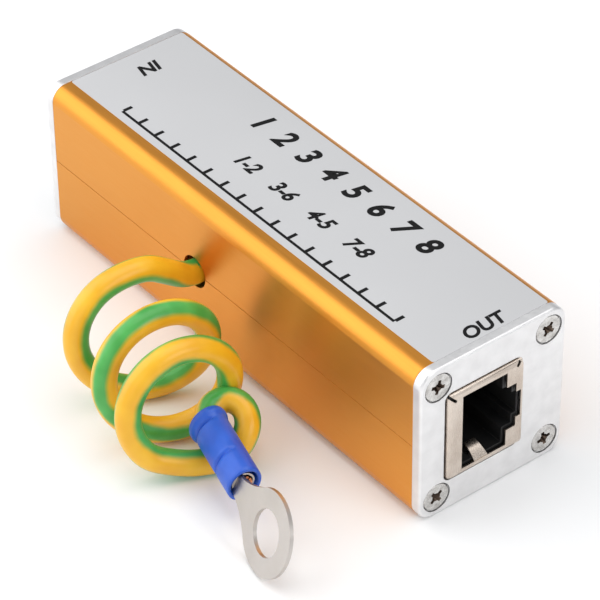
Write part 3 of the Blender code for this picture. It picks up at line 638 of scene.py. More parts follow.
def merged_copy(node: str) -> Mesh:
    """Copies a CAD node's mesh in millimetres and merges its triangles to flat faces.

    Args:
        node: the node's name.

    Returns:
        The copy. The node's own mesh stays as it is.
    """
    bm = bmesh.new()
    bm.from_mesh(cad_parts[node].data)
    bmesh.ops.scale(bm, vec=(1 / MM, 1 / MM, 1 / MM), verts=bm.verts)
    bmesh.ops.remove_doubles(bm, verts=bm.verts, dist=1e-3)
    bmesh.ops.recalc_face_normals(bm, faces=bm.faces)
    bmesh.ops.dissolve_limit(bm, angle_limit=math.radians(1), verts=bm.verts, edges=bm.edges)
    return bm


def shift(bm: Mesh, chosen: Callable[[Vector], bool], vec: Point) -> None:
    """Moves the vertices whose places are chosen."""
    bmesh.ops.translate(bm, vec=vec, verts=[v for v in bm.verts if chosen(v.co)])


def piece(
    name: str,
    bm: Mesh,
    finish: Finish,
    replaced: Sequence[str] = (),
    smooth: float = 35.0,
    edge: float = 0.0,
) -> bpy.types.Object:
    """Finishes a mesh as a piece of the object.

    Args:
        name: the piece's name.
        bm: its shape in millimetres, which is freed.
        finish: its material.
        replaced: the CAD nodes that it stands for.
        smooth: edges flatter than this many degrees are shaded smooth.
        edge: the radius that a Bevel modifier gives the sharper edges, in mm.

    Returns:
        The piece, riding on the body.
    """
    bmesh.ops.scale(bm, vec=(MM, MM, MM), verts=bm.verts)
    bmesh.ops.remove_doubles(bm, verts=bm.verts, dist=1e-7)
    bmesh.ops.recalc_face_normals(bm, faces=bm.faces)
    mesh = bpy.data.meshes.new(name)
    bm.to_mesh(mesh)
    bm.free()
    mesh.materials.append(finish.material())
    mesh.shade_smooth()
    mesh.set_sharp_from_angle(angle=math.radians(smooth))
    made = bpy.data.objects.new(name, mesh)
    bpy.context.scene.collection.objects.link(made)
    if edge:
        bevel = made.modifiers.new("Edges", "BEVEL")
        bevel.width = edge * MM
        bevel.segments = 2
        bevel.limit_method = "ANGLE"
        bevel.angle_limit = math.radians(smooth)
        bevel.use_clamp_overlap = True
        weighted = made.modifiers.new("Weighted", "WEIGHTED_NORMAL")
        weighted.keep_sharp = True
    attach(made, BODY)
    if replaced:
        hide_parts(*replaced)
    return made


def smooth_route(guides: Sequence[Vector], step: float, evenings: int = 3) -> tuple[list[Vector], list[int]]:
    """Places about one step apart on a smooth curve that follows the guides.

    Args:
        guides: the places that the curve goes through before it is evened out.
        step: the distance between two places of the route.
        evenings: how often each place moves to the mean of itself and its neighbours, which opens the
            bends at the guides as a stiff lead does.

    Returns:
        The route, and for each guide its place's number on it.
    """
    ends = [2 * guides[0] - guides[1], *guides, 2 * guides[-1] - guides[-2]]
    route, marks = [guides[0]], [0]
    for before, first, second, after in zip(ends, ends[1:], ends[2:], ends[3:]):
        pieces = max(1, round((second - first).length / step))
        for i in range(1, pieces + 1):
            t = i / pieces
            square = (2 * before - 5 * first + 4 * second - after) * t**2
            cube = (3 * first - before - 3 * second + after) * t**3
            route.append((2 * first + (second - before) * t + square + cube) / 2)
        marks.append(len(route) - 1)
    for _ in range(evenings):
        trios = zip(route, route[1:], route[2:])
        inner = [(before + 2 * place + after) / 4 for before, place, after in trios]
        route = [route[0], *inner, route[-1]]
    return route, marks


def tangents(route: Sequence[Vector]) -> list[Vector]:
    """The direction of a route at each of its places."""
    last = len(route) - 1
    return [(route[min(i + 1, last)] - route[max(i - 1, 0)]).normalized() for i in range(last + 1)]


def seam_directions(route: Sequence[Vector], keys: Keys) -> list[tuple[Vector, Vector]]:
    """Turns the start of each ring of a tube towards the side that the keys ask for.

    Args:
        route: the middle of each ring.
        keys: numbers of rings, with the side that the seam or its opposite faces there.

    Returns:
        For each ring, the unit vector to its seam and the one a quarter turn on.
    """
    along = tangents(route)
    normal = along[0].orthogonal().normalized()
    frames = []
    for previous, tangent in zip([along[0], *along], along):
        normal = previous.rotation_difference(tangent) @ normal
        normal = (normal - tangent * normal.dot(tangent)).normalized()
        frames.append((normal, tangent.cross(normal)))
    turns, last = [], None
    for number, side in keys:
        first, second = frames[number]
        turn = math.atan2(side.dot(second), side.dot(first))
        if last is not None:
            turn += math.pi * round((last - turn) / math.pi)
        turns.append((number, turn))
        last = turn
    sides = []
    for number, (first, second) in enumerate(frames):
        later = next((k for k, (mark, _) in enumerate(turns) if mark >= number), len(turns) - 1)
        earlier = max(later - 1, 0)
        (start, low), (end, high) = turns[earlier], turns[later]
        share = 0.0 if end == start else min(max((number - start) / (end - start), 0.0), 1.0)
        turn = low + (high - low) * share * share * (3 - 2 * share)
        sides.append(
            (
                first * math.cos(turn) + second * math.sin(turn),
                second * math.cos(turn) - first * math.sin(turn),
            )
        )
    return sides


def tube(route: Sequence[Vector], radius: float, sides: int, keys: Keys) -> Mesh:
    """A closed tube along a route, with a UV map: the first value runs along it and the second round it.

    Args:
        route: the middle of each ring.
        radius: the radius.
        sides: corners of a ring.
        keys: where the seam faces, as for seam_directions.

    Returns:
        The tube, capped at both ends.
    """
    rings = len(route) - 1
    bm = bmesh.new()
    bm.loops.layers.uv.new("UVMap")
    bmesh.ops.create_grid(bm, x_segments=rings, y_segments=sides, size=0.5, calc_uvs=True)
    turns = seam_directions(route, keys)
    for vertex in bm.verts:
        number = round((vertex.co.x + 0.5) * rings)
        angle = math.tau * round((vertex.co.y + 0.5) * sides) / sides
        across, up = turns[number]
        vertex.co = route[number] + radius * (across * math.cos(angle) + up * math.sin(angle))
    bmesh.ops.remove_doubles(bm, verts=bm.verts, dist=1e-4)
    bmesh.ops.holes_fill(bm, edges=[e for e in bm.edges if e.is_boundary])
    bmesh.ops.recalc_face_normals(bm, faces=bm.faces)
    return bm


# Sub-assemblies


@dataclass
class Case:
    """The two anodised halves: seam and end joints closed to hairlines, the top flush under the film.

    Attributes:
        seam: the seam's height.
        seam_gap: the gap left at the seam.
        cad_gap: the gap that the solids have there.
        end: half the length of the solids.
        end_fitted: half the length that meets the end plates.
        recess_floor: the height of the label's recess in the solids.
        top: the height of the lips beside it in the solids.
        top_fitted: the height of both under the film.
        edge: the radius of the machined edges.
    """

    seam: float = 13.1
    seam_gap: float = 0.05
    cad_gap: float = 0.3
    end: float = 41.8
    end_fitted: float = 42.07
    recess_floor: float = 25.7
    top: float = 26.2
    top_fitted: float = 26.1
    edge: float = 0.07

    def shell(self, name: str, side: int) -> bpy.types.Object:
        """One half of the case.

        Args:
            name: the CAD node that it stands for.
            side: 1 for the upper half, -1 for the lower.

        Returns:
            The finished half.
        """
        bm = merged_copy(name)
        rim = self.seam + side * self.cad_gap / 2
        closing = side * (self.seam_gap - self.cad_gap) / 2
        shift(bm, lambda co: abs(co.z - rim) < NEAR, (0, 0, closing))
        for out in (end.value for end in End):
            longer = out * (self.end_fitted - self.end)
            shift(bm, lambda co, out=out: out * co.x > self.end - NEAR, (longer, 0, 0))
        if side > 0:
            for height in (self.recess_floor, self.top):
                rise = self.top_fitted - height
                shift(bm, lambda co, height=height: abs(co.z - height) < NEAR, (0, 0, rise))
        return piece(f"{name}_anodised", bm, GOLD_ANODISED, (name,), smooth=28, edge=self.edge)

    def build(self) -> None:
        """Builds both halves."""
        for name, side in (("upper_shell", 1), ("lower_shell", -1)):
            self.shell(name, side)
            log.info("%s anodised and closed to its seam", name)


@dataclass
class Label:
    """The grey film label, with generic print: the two ends' words, plain numbers and a plain scale.

    Attributes:
        size: the film's length and width.
        middle_y: how far its middle is off the case's middle.
        corner: the radius of its corners.
        rim: the radius of its upper edge.
        floor: the height of its underside.
        top: the height of its upper side.
        ink: the thickness of the print.
        bolder: how far each stroke of the built-in font is thickened, in parts of its size.
        capital: the height of that font's capitals, in parts of its size.
        rows: each row's characters, height, place in x and y, turn in degrees and slant.
        rule: the scale's line, from one x to the other, its y and its width.
        ticks: how many ticks it has, their length and their width.
    """

    size: tuple[float, float] = (84.1, 20.6)
    middle_y: float = 0.82
    corner: float = 0.4
    rim: float = 0.04
    floor: float = 26.09
    top: float = 26.17
    ink: float = 0.02
    bolder: float = 0.032
    capital: float = 0.72
    rows: tuple[tuple[str, float, Point, float, float], ...] = (
        ("1  2  3  4  5  6  7  8", 3.7, (3.0, 6.2), 0.0, 0.2),
        ("1-2    3-6    4-5    7-8", 2.5, (3.5, -1.7), 0.0, 0.2),
        ("IN", 2.5, (-37.6, 1.9), -90.0, 0.2),
        ("OUT", 2.4, (40.4, 0.75), 90.0, 0.2),
    )
    rule: tuple[float, float, float, float] = (-31.0, 32.0, -8.0, 0.45)
    ticks: tuple[int, float, float] = (17, 1.5, 0.6)

    def lettering(self, text: str, height: float, place: Point, turn: float, shear: float) -> Mesh:
        """Bold slanted characters as a thin raised mesh.

        Args:
            text: the characters.
            height: their height.
            place: the middle of the row in x and y.
            turn: degrees about Z.
            shear: how far they slant.

        Returns:
            The characters, lying on the film.
        """
        curve = bpy.data.curves.new("row", "FONT")
        curve.body = text
        curve.align_x, curve.align_y = "CENTER", "CENTER"
        curve.shear, curve.offset, curve.resolution_u = shear, self.bolder, 4
        curve.extrude = 0.5
        holder = bpy.data.objects.new("row", curve)
        bpy.context.scene.collection.objects.link(holder)
        bpy.context.view_layer.update()
        mesh = bpy.data.meshes.new_from_object(holder.evaluated_get(bpy.context.evaluated_depsgraph_get()))
        bm = bmesh.new()
        bm.from_mesh(mesh)
        bpy.data.objects.remove(holder, do_unlink=True)
        bpy.data.curves.remove(curve)
        bpy.data.meshes.remove(mesh)
        scale = height / self.capital
        lift = Matrix.Translation((place[0], place[1], self.top + self.ink / 2))
        flat = Matrix.Diagonal((scale, scale, self.ink, 1))
        return moved(bm, lift @ Matrix.Rotation(math.radians(turn), 4, "Z") @ flat)

    def bar(self, low: Point, high: Point) -> Mesh:
        """A printed bar between two corners in x and y."""
        return box((*low, self.top), (*high, self.top + self.ink))

    def scale(self) -> list[Mesh]:
        """The plain scale, a long line with ticks on one side.

        Returns:
            The line and its ticks.
        """
        low, high, y, width = self.rule
        count, tall, thick = self.ticks
        start = y + width / 2
        bars = [self.bar((low, y - width / 2), (high, start))]
        for number in range(count):
            x = low + (high - low) * number / (count - 1)
            bars.append(self.bar((x - thick / 2, start), (x + thick / 2, start + tall)))
        return bars

    def build(self) -> None:
        """Builds the film and its print."""
        film = rounded_slab(self.size, self.corner, self.top - self.floor, self.rim, (0, self.middle_y))
        film = moved(film, Matrix.Translation((0, 0, self.floor)))
        piece("top_label_film", film, POLYESTER_FILM, ("top_label",))
        rows = [self.lettering(*row) for row in self.rows]
        piece("top_label_print", joined([*rows, *self.scale()]), PRINT_INK)
        log.info("label film with its generic print")


def end_place(end: End) -> Matrix:
    """The frame of an end: x to world Y, y to world Z, and z outwards along X."""
    return Matrix(((0, 0, end.value, 0), (1, 0, 0, 0), (0, 1, 0, 0), (0, 0, 0, 1)))


@dataclass
class EndPlate:
    """A stamped end plate with its socket window, and its four countersunk cross screws.

    Attributes:
        end: the end that it closes.
        size: its width and height.
        corner: the radius of its corners, and corner_steps their segments.
        back: how far out its inner face is, and face its outer one.
        rim: the radius along its outer rim.
        window: the window's width and height, with window_corner and window_y for its corners and place.
        screw_y: how far out the screws are, and screw_heights their two heights.
        screw_turns: how far each screw is turned, in degrees.
        bore: the radius of the countersink, and shank_bore that of the hole under it.
        head: the radius of a screw's head, head_rim its straight edge and head_round its rounding.
        shank: the radius of the shank, and length the screw's length.
        sink: how far the heads lie under the plate's face.
        cross_reach: the reach of the cross recess, with its width and depth.
        cross_taper: the share of that reach and width left at its floor.
        cross_core: the profile of the hollow in its middle, along the screw and out.
        cross_floor: the place of that hollow's deepest point.
        steps: steps of a full turn, and core_steps those of the hollow.
    """

    end: End
    size: tuple[float, float] = (26.0, 26.2)
    corner: float = 2.6
    corner_steps: int = 16
    back: float = 42.1
    face: float = 43.7
    rim: float = 0.45
    window: tuple[float, float] = (13.76, 15.76)
    window_corner: float = 1.2
    window_y: float = -1.8
    screw_y: float = 9.85
    screw_heights: tuple[float, float] = (3.2, 23.0)
    screw_turns: tuple[float, ...] = (40.0, 12.0, 75.0, 55.0)
    bore: float = 2.38
    shank_bore: float = 1.3
    head: float = 2.17
    head_rim: float = 0.2
    head_round: float = 0.12
    shank: float = 1.0
    length: float = 8.0
    sink: float = 0.1
    cross_reach: float = 1.42
    cross_width: float = 0.6
    cross_depth: float = 1.0
    cross_taper: tuple[float, float] = (0.45, 0.75)
    cross_core: tuple[tuple[float, float], ...] = ((-1.15, 0.0), (-0.9, 0.35), (0.3, 0.8), (0.3, 0.0))
    cross_floor: float = -1.3
    steps: int = 40
    core_steps: int = 24

    def plate(self) -> bpy.types.Object:
        """The plate, its outer rim rolled over and its holes cut.

        Returns:
            The finished plate.
        """
        depth = self.face - self.back
        middle = (0.0, self.size[1] / 2)
        slab = rounded_slab(self.size, self.corner, depth, self.rim, middle, self.corner_steps)
        window = (self.window, self.window_corner, depth + 2 * PAST, 0, (self.window_y, middle[1]))
        tools = [moved(rounded_slab(*window), Matrix.Translation((0, 0, -PAST)))]
        ledge = depth - self.sink - self.head_rim
        throat = ledge - self.bore + self.shank_bore
        sink = [(-PAST, 0), (-PAST, self.shank_bore), (throat, self.shank_bore)]
        sink += [(ledge, self.bore), (depth + PAST, self.bore), (depth + PAST, 0)]
        upright = Matrix.Rotation(-math.pi / 2, 4, "Y")
        for y, z, _ in self.screw_places():
            tools.append(moved(turned(sink, self.steps), Matrix.Translation((y, z, 0)) @ upright))
        place = end_place(self.end) @ Matrix.Translation((0, 0, self.back))
        bm = moved(carved(slab, tools), place)
        name = f"end_plate_{self.end.word}"
        return piece(f"{name}_tumbled", bm, TUMBLED_ALUMINIUM, (name,), smooth=40, edge=0.08)

    def screw_places(self) -> list[tuple[float, float, float]]:
        """The y, z and turn of the four screws, numbered from the lower one at -Y."""
        places = [(y, z) for z in self.screw_heights for y in (-self.screw_y, self.screw_y)]
        return [(y, z, turn) for (y, z), turn in zip(places, self.screw_turns)]

    def screw(self) -> Mesh:
        """A countersunk screw with a cross recess, its face at x = 0 and its shank towards -X.

        Returns:
            The screw.
        """
        soft, cone, tip = self.head_round, self.head - self.shank, self.shank / 2
        profile = [(0, 0), (0, self.head - soft), (-soft / 3, self.head - soft / 4), (-soft, self.head)]
        profile += [(-self.head_rim, self.head), (-self.head_rim - cone, self.shank)]
        profile += [(tip - self.length, self.shank), (-self.length, tip), (-self.length, 0)]
        reach, half = self.cross_reach, self.cross_width / 2
        tools = []
        for turn in (0.0, 90.0):
            wing = box((-self.cross_depth, -reach, -half), (PAST, reach, half))
            for vertex in wing.verts:
                if vertex.co.x < 0:
                    vertex.co.y *= self.cross_taper[0]
                    vertex.co.z *= self.cross_taper[1]
            tools.append(moved(wing, Matrix.Rotation(math.radians(turn), 4, "X")))
        tools.append(turned(self.cross_core, self.core_steps))
        return carved(turned(profile, self.steps), tools)

    def build(self) -> None:
        """Builds the plate and sets its screws."""
        self.plate()
        out = self.end.value
        for number, (y, z, turn) in enumerate(self.screw_places(), start=1):
            name = f"end_screw_{self.end.word}_{number}"
            face = Matrix.Translation((out * (self.face - self.sink), y, z))
            outward = Matrix.Diagonal((out, 1, 1, 1)) @ Matrix.Rotation(math.radians(turn), 4, "X")
            bm = self.screw()
            # Faces inside the cross recess take the second, darker material: the recess's shade painted into
            # its colour.
            for cut in bm.faces:
                middle = cut.calc_center_median()
                inside = math.hypot(middle.y, middle.z) < self.cross_reach
                cut.material_index = int(inside and self.cross_floor < middle.x < -NEAR)
            screw = piece(f"{name}_plated", moved(bm, face @ outward), PLATED_STEEL, (name,), edge=0.03)
            screw.data.materials.append(SHADED_RECESS_STEEL.material())
        log.info("end plate %s with four screws", self.end.word)


@dataclass
class Socket:
    """A shielded eight-way socket: folded shield with its mouth and spring fingers, insert and contacts.

    Attributes:
        end: the end that it faces.
        face: how far out the shield's face is.
        size: the shield's height, width and depth in the socket's frame.
        middle: the middle of its face in world Y and Z.
        sheet: the thickness of its sheet, and fold the radius of the folds.
        mouth_half: half the mouth's width, and mouth_top its reach towards the top.
        mouth_reaches: half the width of each latch step, and its reach towards the bottom.
        mouth_depth: how deep the mouth's tools cut.
        leg: a solder leg's width, its place behind the face and its length.
        finger: a spring finger's width, its reach inwards and how far it leans into the mouth.
        finger_sheet: its thickness, with finger_taper the share of the width that it loses.
        finger_centre: the place of its middle, and finger_root how far out and back it starts.
        slits: the side, length and width of the slits in the face's corners.
        slit_inset: how far they are from the corner, and slit_depth how deep.
        contacts: the number of spring contacts.
    """

    end: End
    face: float = 44.2
    size: tuple[float, float, float] = (13.5, 15.5, 21.0)
    middle: tuple[float, float] = (-1.8, 13.1)
    sheet: float = 0.3
    fold: float = 0.95
    mouth_half: float = 6.5
    mouth_top: float = 4.05
    mouth_reaches: tuple[tuple[float, float], ...] = ((6.5, 3.9), (3.85, 5.6), (2.3, 6.45))
    mouth_depth: float = 1.5
    leg: tuple[float, float, float] = (1.0, 9.0, 2.9)
    finger: tuple[float, float, float] = (2.4, 2.6, 1.3)
    finger_sheet: float = 0.25
    finger_taper: float = 0.25
    finger_centre: float = -0.5
    finger_root: tuple[float, float] = (0.1, 0.2)
    slits: tuple[tuple[int, float, float], ...] = ((-1, 2.3, 0.42), (1, 0.9, 0.42))
    slit_inset: float = 0.75
    slit_depth: float = 0.9
    contacts: int = 8

    def place(self) -> Matrix:
        """The socket's frame: x to world Y, y to world Z, and z outwards, from the middle of its face."""
        return end_place(self.end) @ Matrix.Translation((*self.middle, self.face))

    def at_foot(self, co: Vector) -> bool:
        """Whether a place is on a side wall's lower edge where a solder leg goes on.

        Args:
            co: the place in the socket's frame.

        Returns:
            True where the leg goes on.
        """
        width, place, _ = self.leg
        on_edge = abs(co.x - self.size[0] / 2) < NEAR and abs(abs(co.y) - self.size[1] / 2) < NEAR
        return on_edge and abs(co.z + place) < width / 2 + NEAR

    def folded_sheet(self) -> Mesh:
        """The shield's sheet, open below and folded round the other sides, with its solder legs.

        Returns:
            The sheet in its thickness.
        """
        half_y, half_z, depth = self.size[0] / 2, self.size[1] / 2, self.size[2]
        bm = box((-half_y, -half_z, -depth), (half_y, half_z, 0))
        bmesh.ops.delete(bm, geom=[f for f in bm.faces if f.normal.x > 1 - NEAR], context="FACES")
        folds = [e for e in bm.edges if len(e.link_faces) == 2]
        bmesh.ops.bevel(
            bm, geom=folds, offset=self.fold, segments=2, affect="EDGES", profile=0.5, material=-1
        )
        width, place, reach = self.leg
        for cut in (place - width / 2, place + width / 2):
            everything = bm.verts[:] + bm.edges[:] + bm.faces[:]
            bmesh.ops.bisect_plane(bm, geom=everything, plane_co=(0, 0, -cut), plane_no=(0, 0, 1))
        feet = [edge for edge in bm.edges if all(self.at_foot(v.co) for v in edge.verts)]
        drawn_out(bm, bmesh.ops.extrude_edge_only(bm, edges=feet)["geom"], (reach, 0, 0))
        bmesh.ops.recalc_face_normals(bm, faces=bm.faces)
        bmesh.ops.solidify(bm, geom=bm.faces[:], thickness=self.sheet)
        return bm

    def shield(self) -> bpy.types.Object:
        """The folded sheet with its stepped mouth, corner slits and spring fingers.

        Returns:
            The finished shield.
        """
        cuts = [
            box((-self.mouth_top, -half, -self.mouth_depth), (reach, half, PAST))
            for half, reach in self.mouth_reaches
        ]
        for edge, long, wide in self.slits:
            slit = box((-long / 2, -wide / 2, -self.slit_depth), (long / 2, wide / 2, PAST))
            inset = (edge * (self.size[0] / 2 - self.slit_inset), self.size[1] / 2 - self.slit_inset, 0)
            turn = Matrix.Rotation(math.radians(edge * 45), 4, "Z")
            cuts.append(moved(slit, Matrix.Translation(inset) @ turn))
        sheet = carved(self.folded_sheet(), cuts)
        fingers = [self.spring_finger(edge) for edge in (-1, 1)]
        name = f"socket_shield_{self.end.word}"
        whole = moved(joined([sheet, *fingers]), self.place())
        return piece(f"{name}_plated", whole, NICKEL_SHEET, (name,), smooth=40, edge=0.04)

    def spring_finger(self, edge: int) -> Mesh:
        """A finger bent in from one side of the mouth.

        Args:
            edge: -1 for the lower side and 1 for the upper side.

        Returns:
            The finger in the socket's frame.
        """
        width, reach, lean = self.finger
        out, back = self.finger_root
        bm = bmesh.new()
        bmesh.ops.create_grid(bm, x_segments=1, y_segments=8, size=0.5)
        for vertex in bm.verts:
            share = 0.5 + vertex.co.y
            bent = math.sin(share * math.pi / 2)
            vertex.co = (
                vertex.co.x * width * (1 - self.finger_taper * share) + self.finger_centre,
                edge * (self.mouth_half + out - lean * bent),
                -back - share * reach,
            )
        bmesh.ops.recalc_face_normals(bm, faces=bm.faces)
        bmesh.ops.solidify(bm, geom=bm.faces[:], thickness=self.finger_sheet)
        return bm

    def build(self) -> None:
        """Builds the shield, the insert and the contacts."""
        self.shield()
        insert = f"socket_insert_{self.end.word}"
        piece(f"{insert}_moulded", merged_copy(insert), MOULDED_PBT, (insert,), smooth=30, edge=0.05)
        for number in range(1, self.contacts + 1):
            contact = f"contact_{self.end.word}_{number}"
            piece(f"{contact}_gold", merged_copy(contact), GOLD_FLASH, (contact,), smooth=50, edge=0.06)
        log.info("socket %s with its insert and %d contacts", self.end.word, self.contacts)


@dataclass
class Terminal:
    """The crimped ring terminal: frame of the CAD terminal, X along the barrel from the wire's entry.

    Attributes:
        ring_centre: the middle of the ring in the world, and turn the frame's angles in degrees.
        entry_to_ring: how far the wire's entry is from it, and below_ring how far below it the axis is.
        flatness: the sleeve's height as a share of its width.
        sleeve_inside: the radius of its bore, with its wall and length.
        sleeve_entry: its section at the wire's entry, along the sleeve and out from the bore.
        sleeve_end: the same at its other end, counted from that end.
        sleeve_sides: its mesh's sides, with the number of its rings and the step between them.
        dents: the place, width and depth of the crimp marks.
        pressed: the world direction that they are pressed from.
        barrel: the barrel's radius, barrel_sheet its sheet and barrel_end the place of its end.
        mouth_flare: how far its mouth is opened, up to mouth_top over its axis.
        strand: a strand's radius, with strand_start and strands_end for its two ends.
        layers: the number of strands in each layer, and the layer's radius.
        twist: how far the layers turn, in radians a millimetre.
        uneven: how much the strands' ends differ, and how fast that changes from one to the next.
    """

    ring_centre: tuple[float, float, float] = (37.24, -34.28, 6.03)
    turn: tuple[float, float, float] = (70.1, 4.1, -14.0)
    entry_to_ring: float = 23.2
    below_ring: float = 1.0
    flatness: float = 0.86
    sleeve_inside: float = 2.326
    sleeve_wall: float = 0.6
    sleeve_length: float = 13.3
    sleeve_entry: tuple[tuple[float, float], ...] = (
        (0.25, 0.0),
        (0.0, 0.2),
        (0.0, 0.6),
        (0.15, 0.85),
        (0.35, 0.9),
        (0.9, 0.9),
        (1.15, 0.82),
        (1.35, 0.63),
        (1.6, 0.6),
    )
    sleeve_end: tuple[tuple[float, float], ...] = ((-0.12, 0.58), (0.0, 0.46), (0.0, 0.1), (-0.1, 0.0))
    sleeve_sides: int = 56
    rings: int = 55
    ring_step: float = 0.2
    dents: tuple[tuple[float, float, float], ...] = ((2.0, 0.24, 0.95), (8.7, 0.24, 0.8))
    pressed: tuple[float, float, float] = (-0.75, -0.60, 0.28)
    barrel: float = 1.7
    barrel_sheet: float = 0.6
    barrel_end: float = 12.8
    mouth_flare: float = 1.3
    mouth_top: float = 0.65
    strand: float = 0.2
    strand_start: float = 0.3
    strands_end: float = 13.1
    strand_steps: int = 14
    strand_sides: int = 8
    layers: tuple[tuple[int, float], ...] = ((1, 0.0), (6, 0.4), (12, 0.8))
    twist: float = 0.35
    uneven: tuple[float, float] = (0.12, 2.4)

    def place(self) -> Matrix:
        """The terminal's frame in the world, in millimetres.

        Returns:
            The frame's matrix.
        """
        a, b, c = (math.radians(value) for value in self.turn)
        turn = Matrix.Rotation(c, 4, "Z") @ Matrix.Rotation(b, 4, "Y") @ Matrix.Rotation(a, 4, "X")
        entry = Matrix.Translation((-self.entry_to_ring, 0, -self.below_ring))
        return Matrix.Translation(self.ring_centre) @ turn @ entry

    def point(self, along: float) -> Vector:
        """A point on the barrel's axis, so far from the wire's entry."""
        return self.place() @ Vector((along, 0, 0))

    def sleeve(self) -> bpy.types.Object:
        """The flattened vinyl sleeve, with its lip at the entry and two crimp marks.

        Returns:
            The finished sleeve.
        """
        inside, outside = self.sleeve_inside, self.sleeve_inside + self.sleeve_wall
        profile = [(along, inside + out) for along, out in self.sleeve_entry]
        start = profile[-1][0]
        profile += [(start + self.ring_step * k, outside) for k in range(1, self.rings + 1)]
        profile += [(self.sleeve_length + along, inside + out) for along, out in self.sleeve_end]
        bm = turned(profile, self.sleeve_sides, closed=True)
        pressed = self.place().to_3x3().inverted() @ Vector(self.pressed)
        for vertex in bm.verts:
            reach = math.hypot(vertex.co.y, vertex.co.z)
            if reach > outside - self.sleeve_wall / 2:
                for middle, width, deep in self.dents:
                    near = math.exp(-(((vertex.co.x - middle) / width) ** 2))
                    facing = max((vertex.co.y * pressed.y + vertex.co.z * pressed.z) / reach, 0.0)
                    shrink = 1 - deep * near * facing / reach
                    vertex.co.y *= shrink
                    vertex.co.z *= shrink
        bmesh.ops.scale(bm, vec=(1, 1, self.flatness), verts=bm.verts)
        bm = moved(bm, self.place())
        return piece("terminal_sleeve_vinyl", bm, BLUE_VINYL, ("terminal_sleeve",), smooth=50)

    def strands(self) -> bpy.types.Object:
        """The copper strands, laid round each other inside the barrel and spreading at its mouth.

        Returns:
            The strands as one piece.
        """
        places = [(circle, math.tau * k / count) for count, circle in self.layers for k in range(count)]
        shapes = []
        for number, (reach, start) in enumerate(places):
            end = self.strands_end + self.uneven[0] * math.sin(self.uneven[1] * number)
            route = []
            for k in range(self.strand_steps + 1):
                along = self.strand_start + (end - self.strand_start) * k / self.strand_steps
                angle = start + along * self.twist
                spread = reach * (1 + (self.mouth_flare - 1) * along / self.barrel_end)
                route.append(Vector((along, spread * math.cos(angle), spread * math.sin(angle))))
            shapes.append(tube(route, self.strand, self.strand_sides, [(0, Vector((0, 0, 1)))]))
        bm = moved(joined(shapes), self.place())
        return piece("wire_strands_twisted", bm, DRAWN_COPPER, ("wire_strands",), smooth=60)

    def ring(self) -> bpy.types.Object:
        """The ring and its barrel, with the barrel's mouth opened a little.

        Returns:
            The finished ring.
        """
        bm = moved(merged_copy("ring_terminal"), self.place().inverted())
        bore = self.barrel - self.barrel_sheet
        for vertex in bm.verts:
            reach = math.hypot(vertex.co.y, vertex.co.z)
            at_mouth = vertex.co.x > self.barrel_end - 2 * NEAR and reach < bore + 5 * NEAR
            if at_mouth and vertex.co.z < self.mouth_top:
                vertex.co.y *= self.mouth_flare
                vertex.co.z *= self.mouth_flare
        bm = moved(bm, self.place())
        return piece("ring_terminal_tinned", bm, TINNED_COPPER, ("ring_terminal",), edge=0.06)

    def build(self) -> list[bpy.types.Object]:
        """Builds the terminal.

        Returns:
            The pieces that hang on the lead.
        """
        made = [self.ring(), self.sleeve(), self.strands()]
        log.info("ring terminal with its sleeve and strands")
        return made


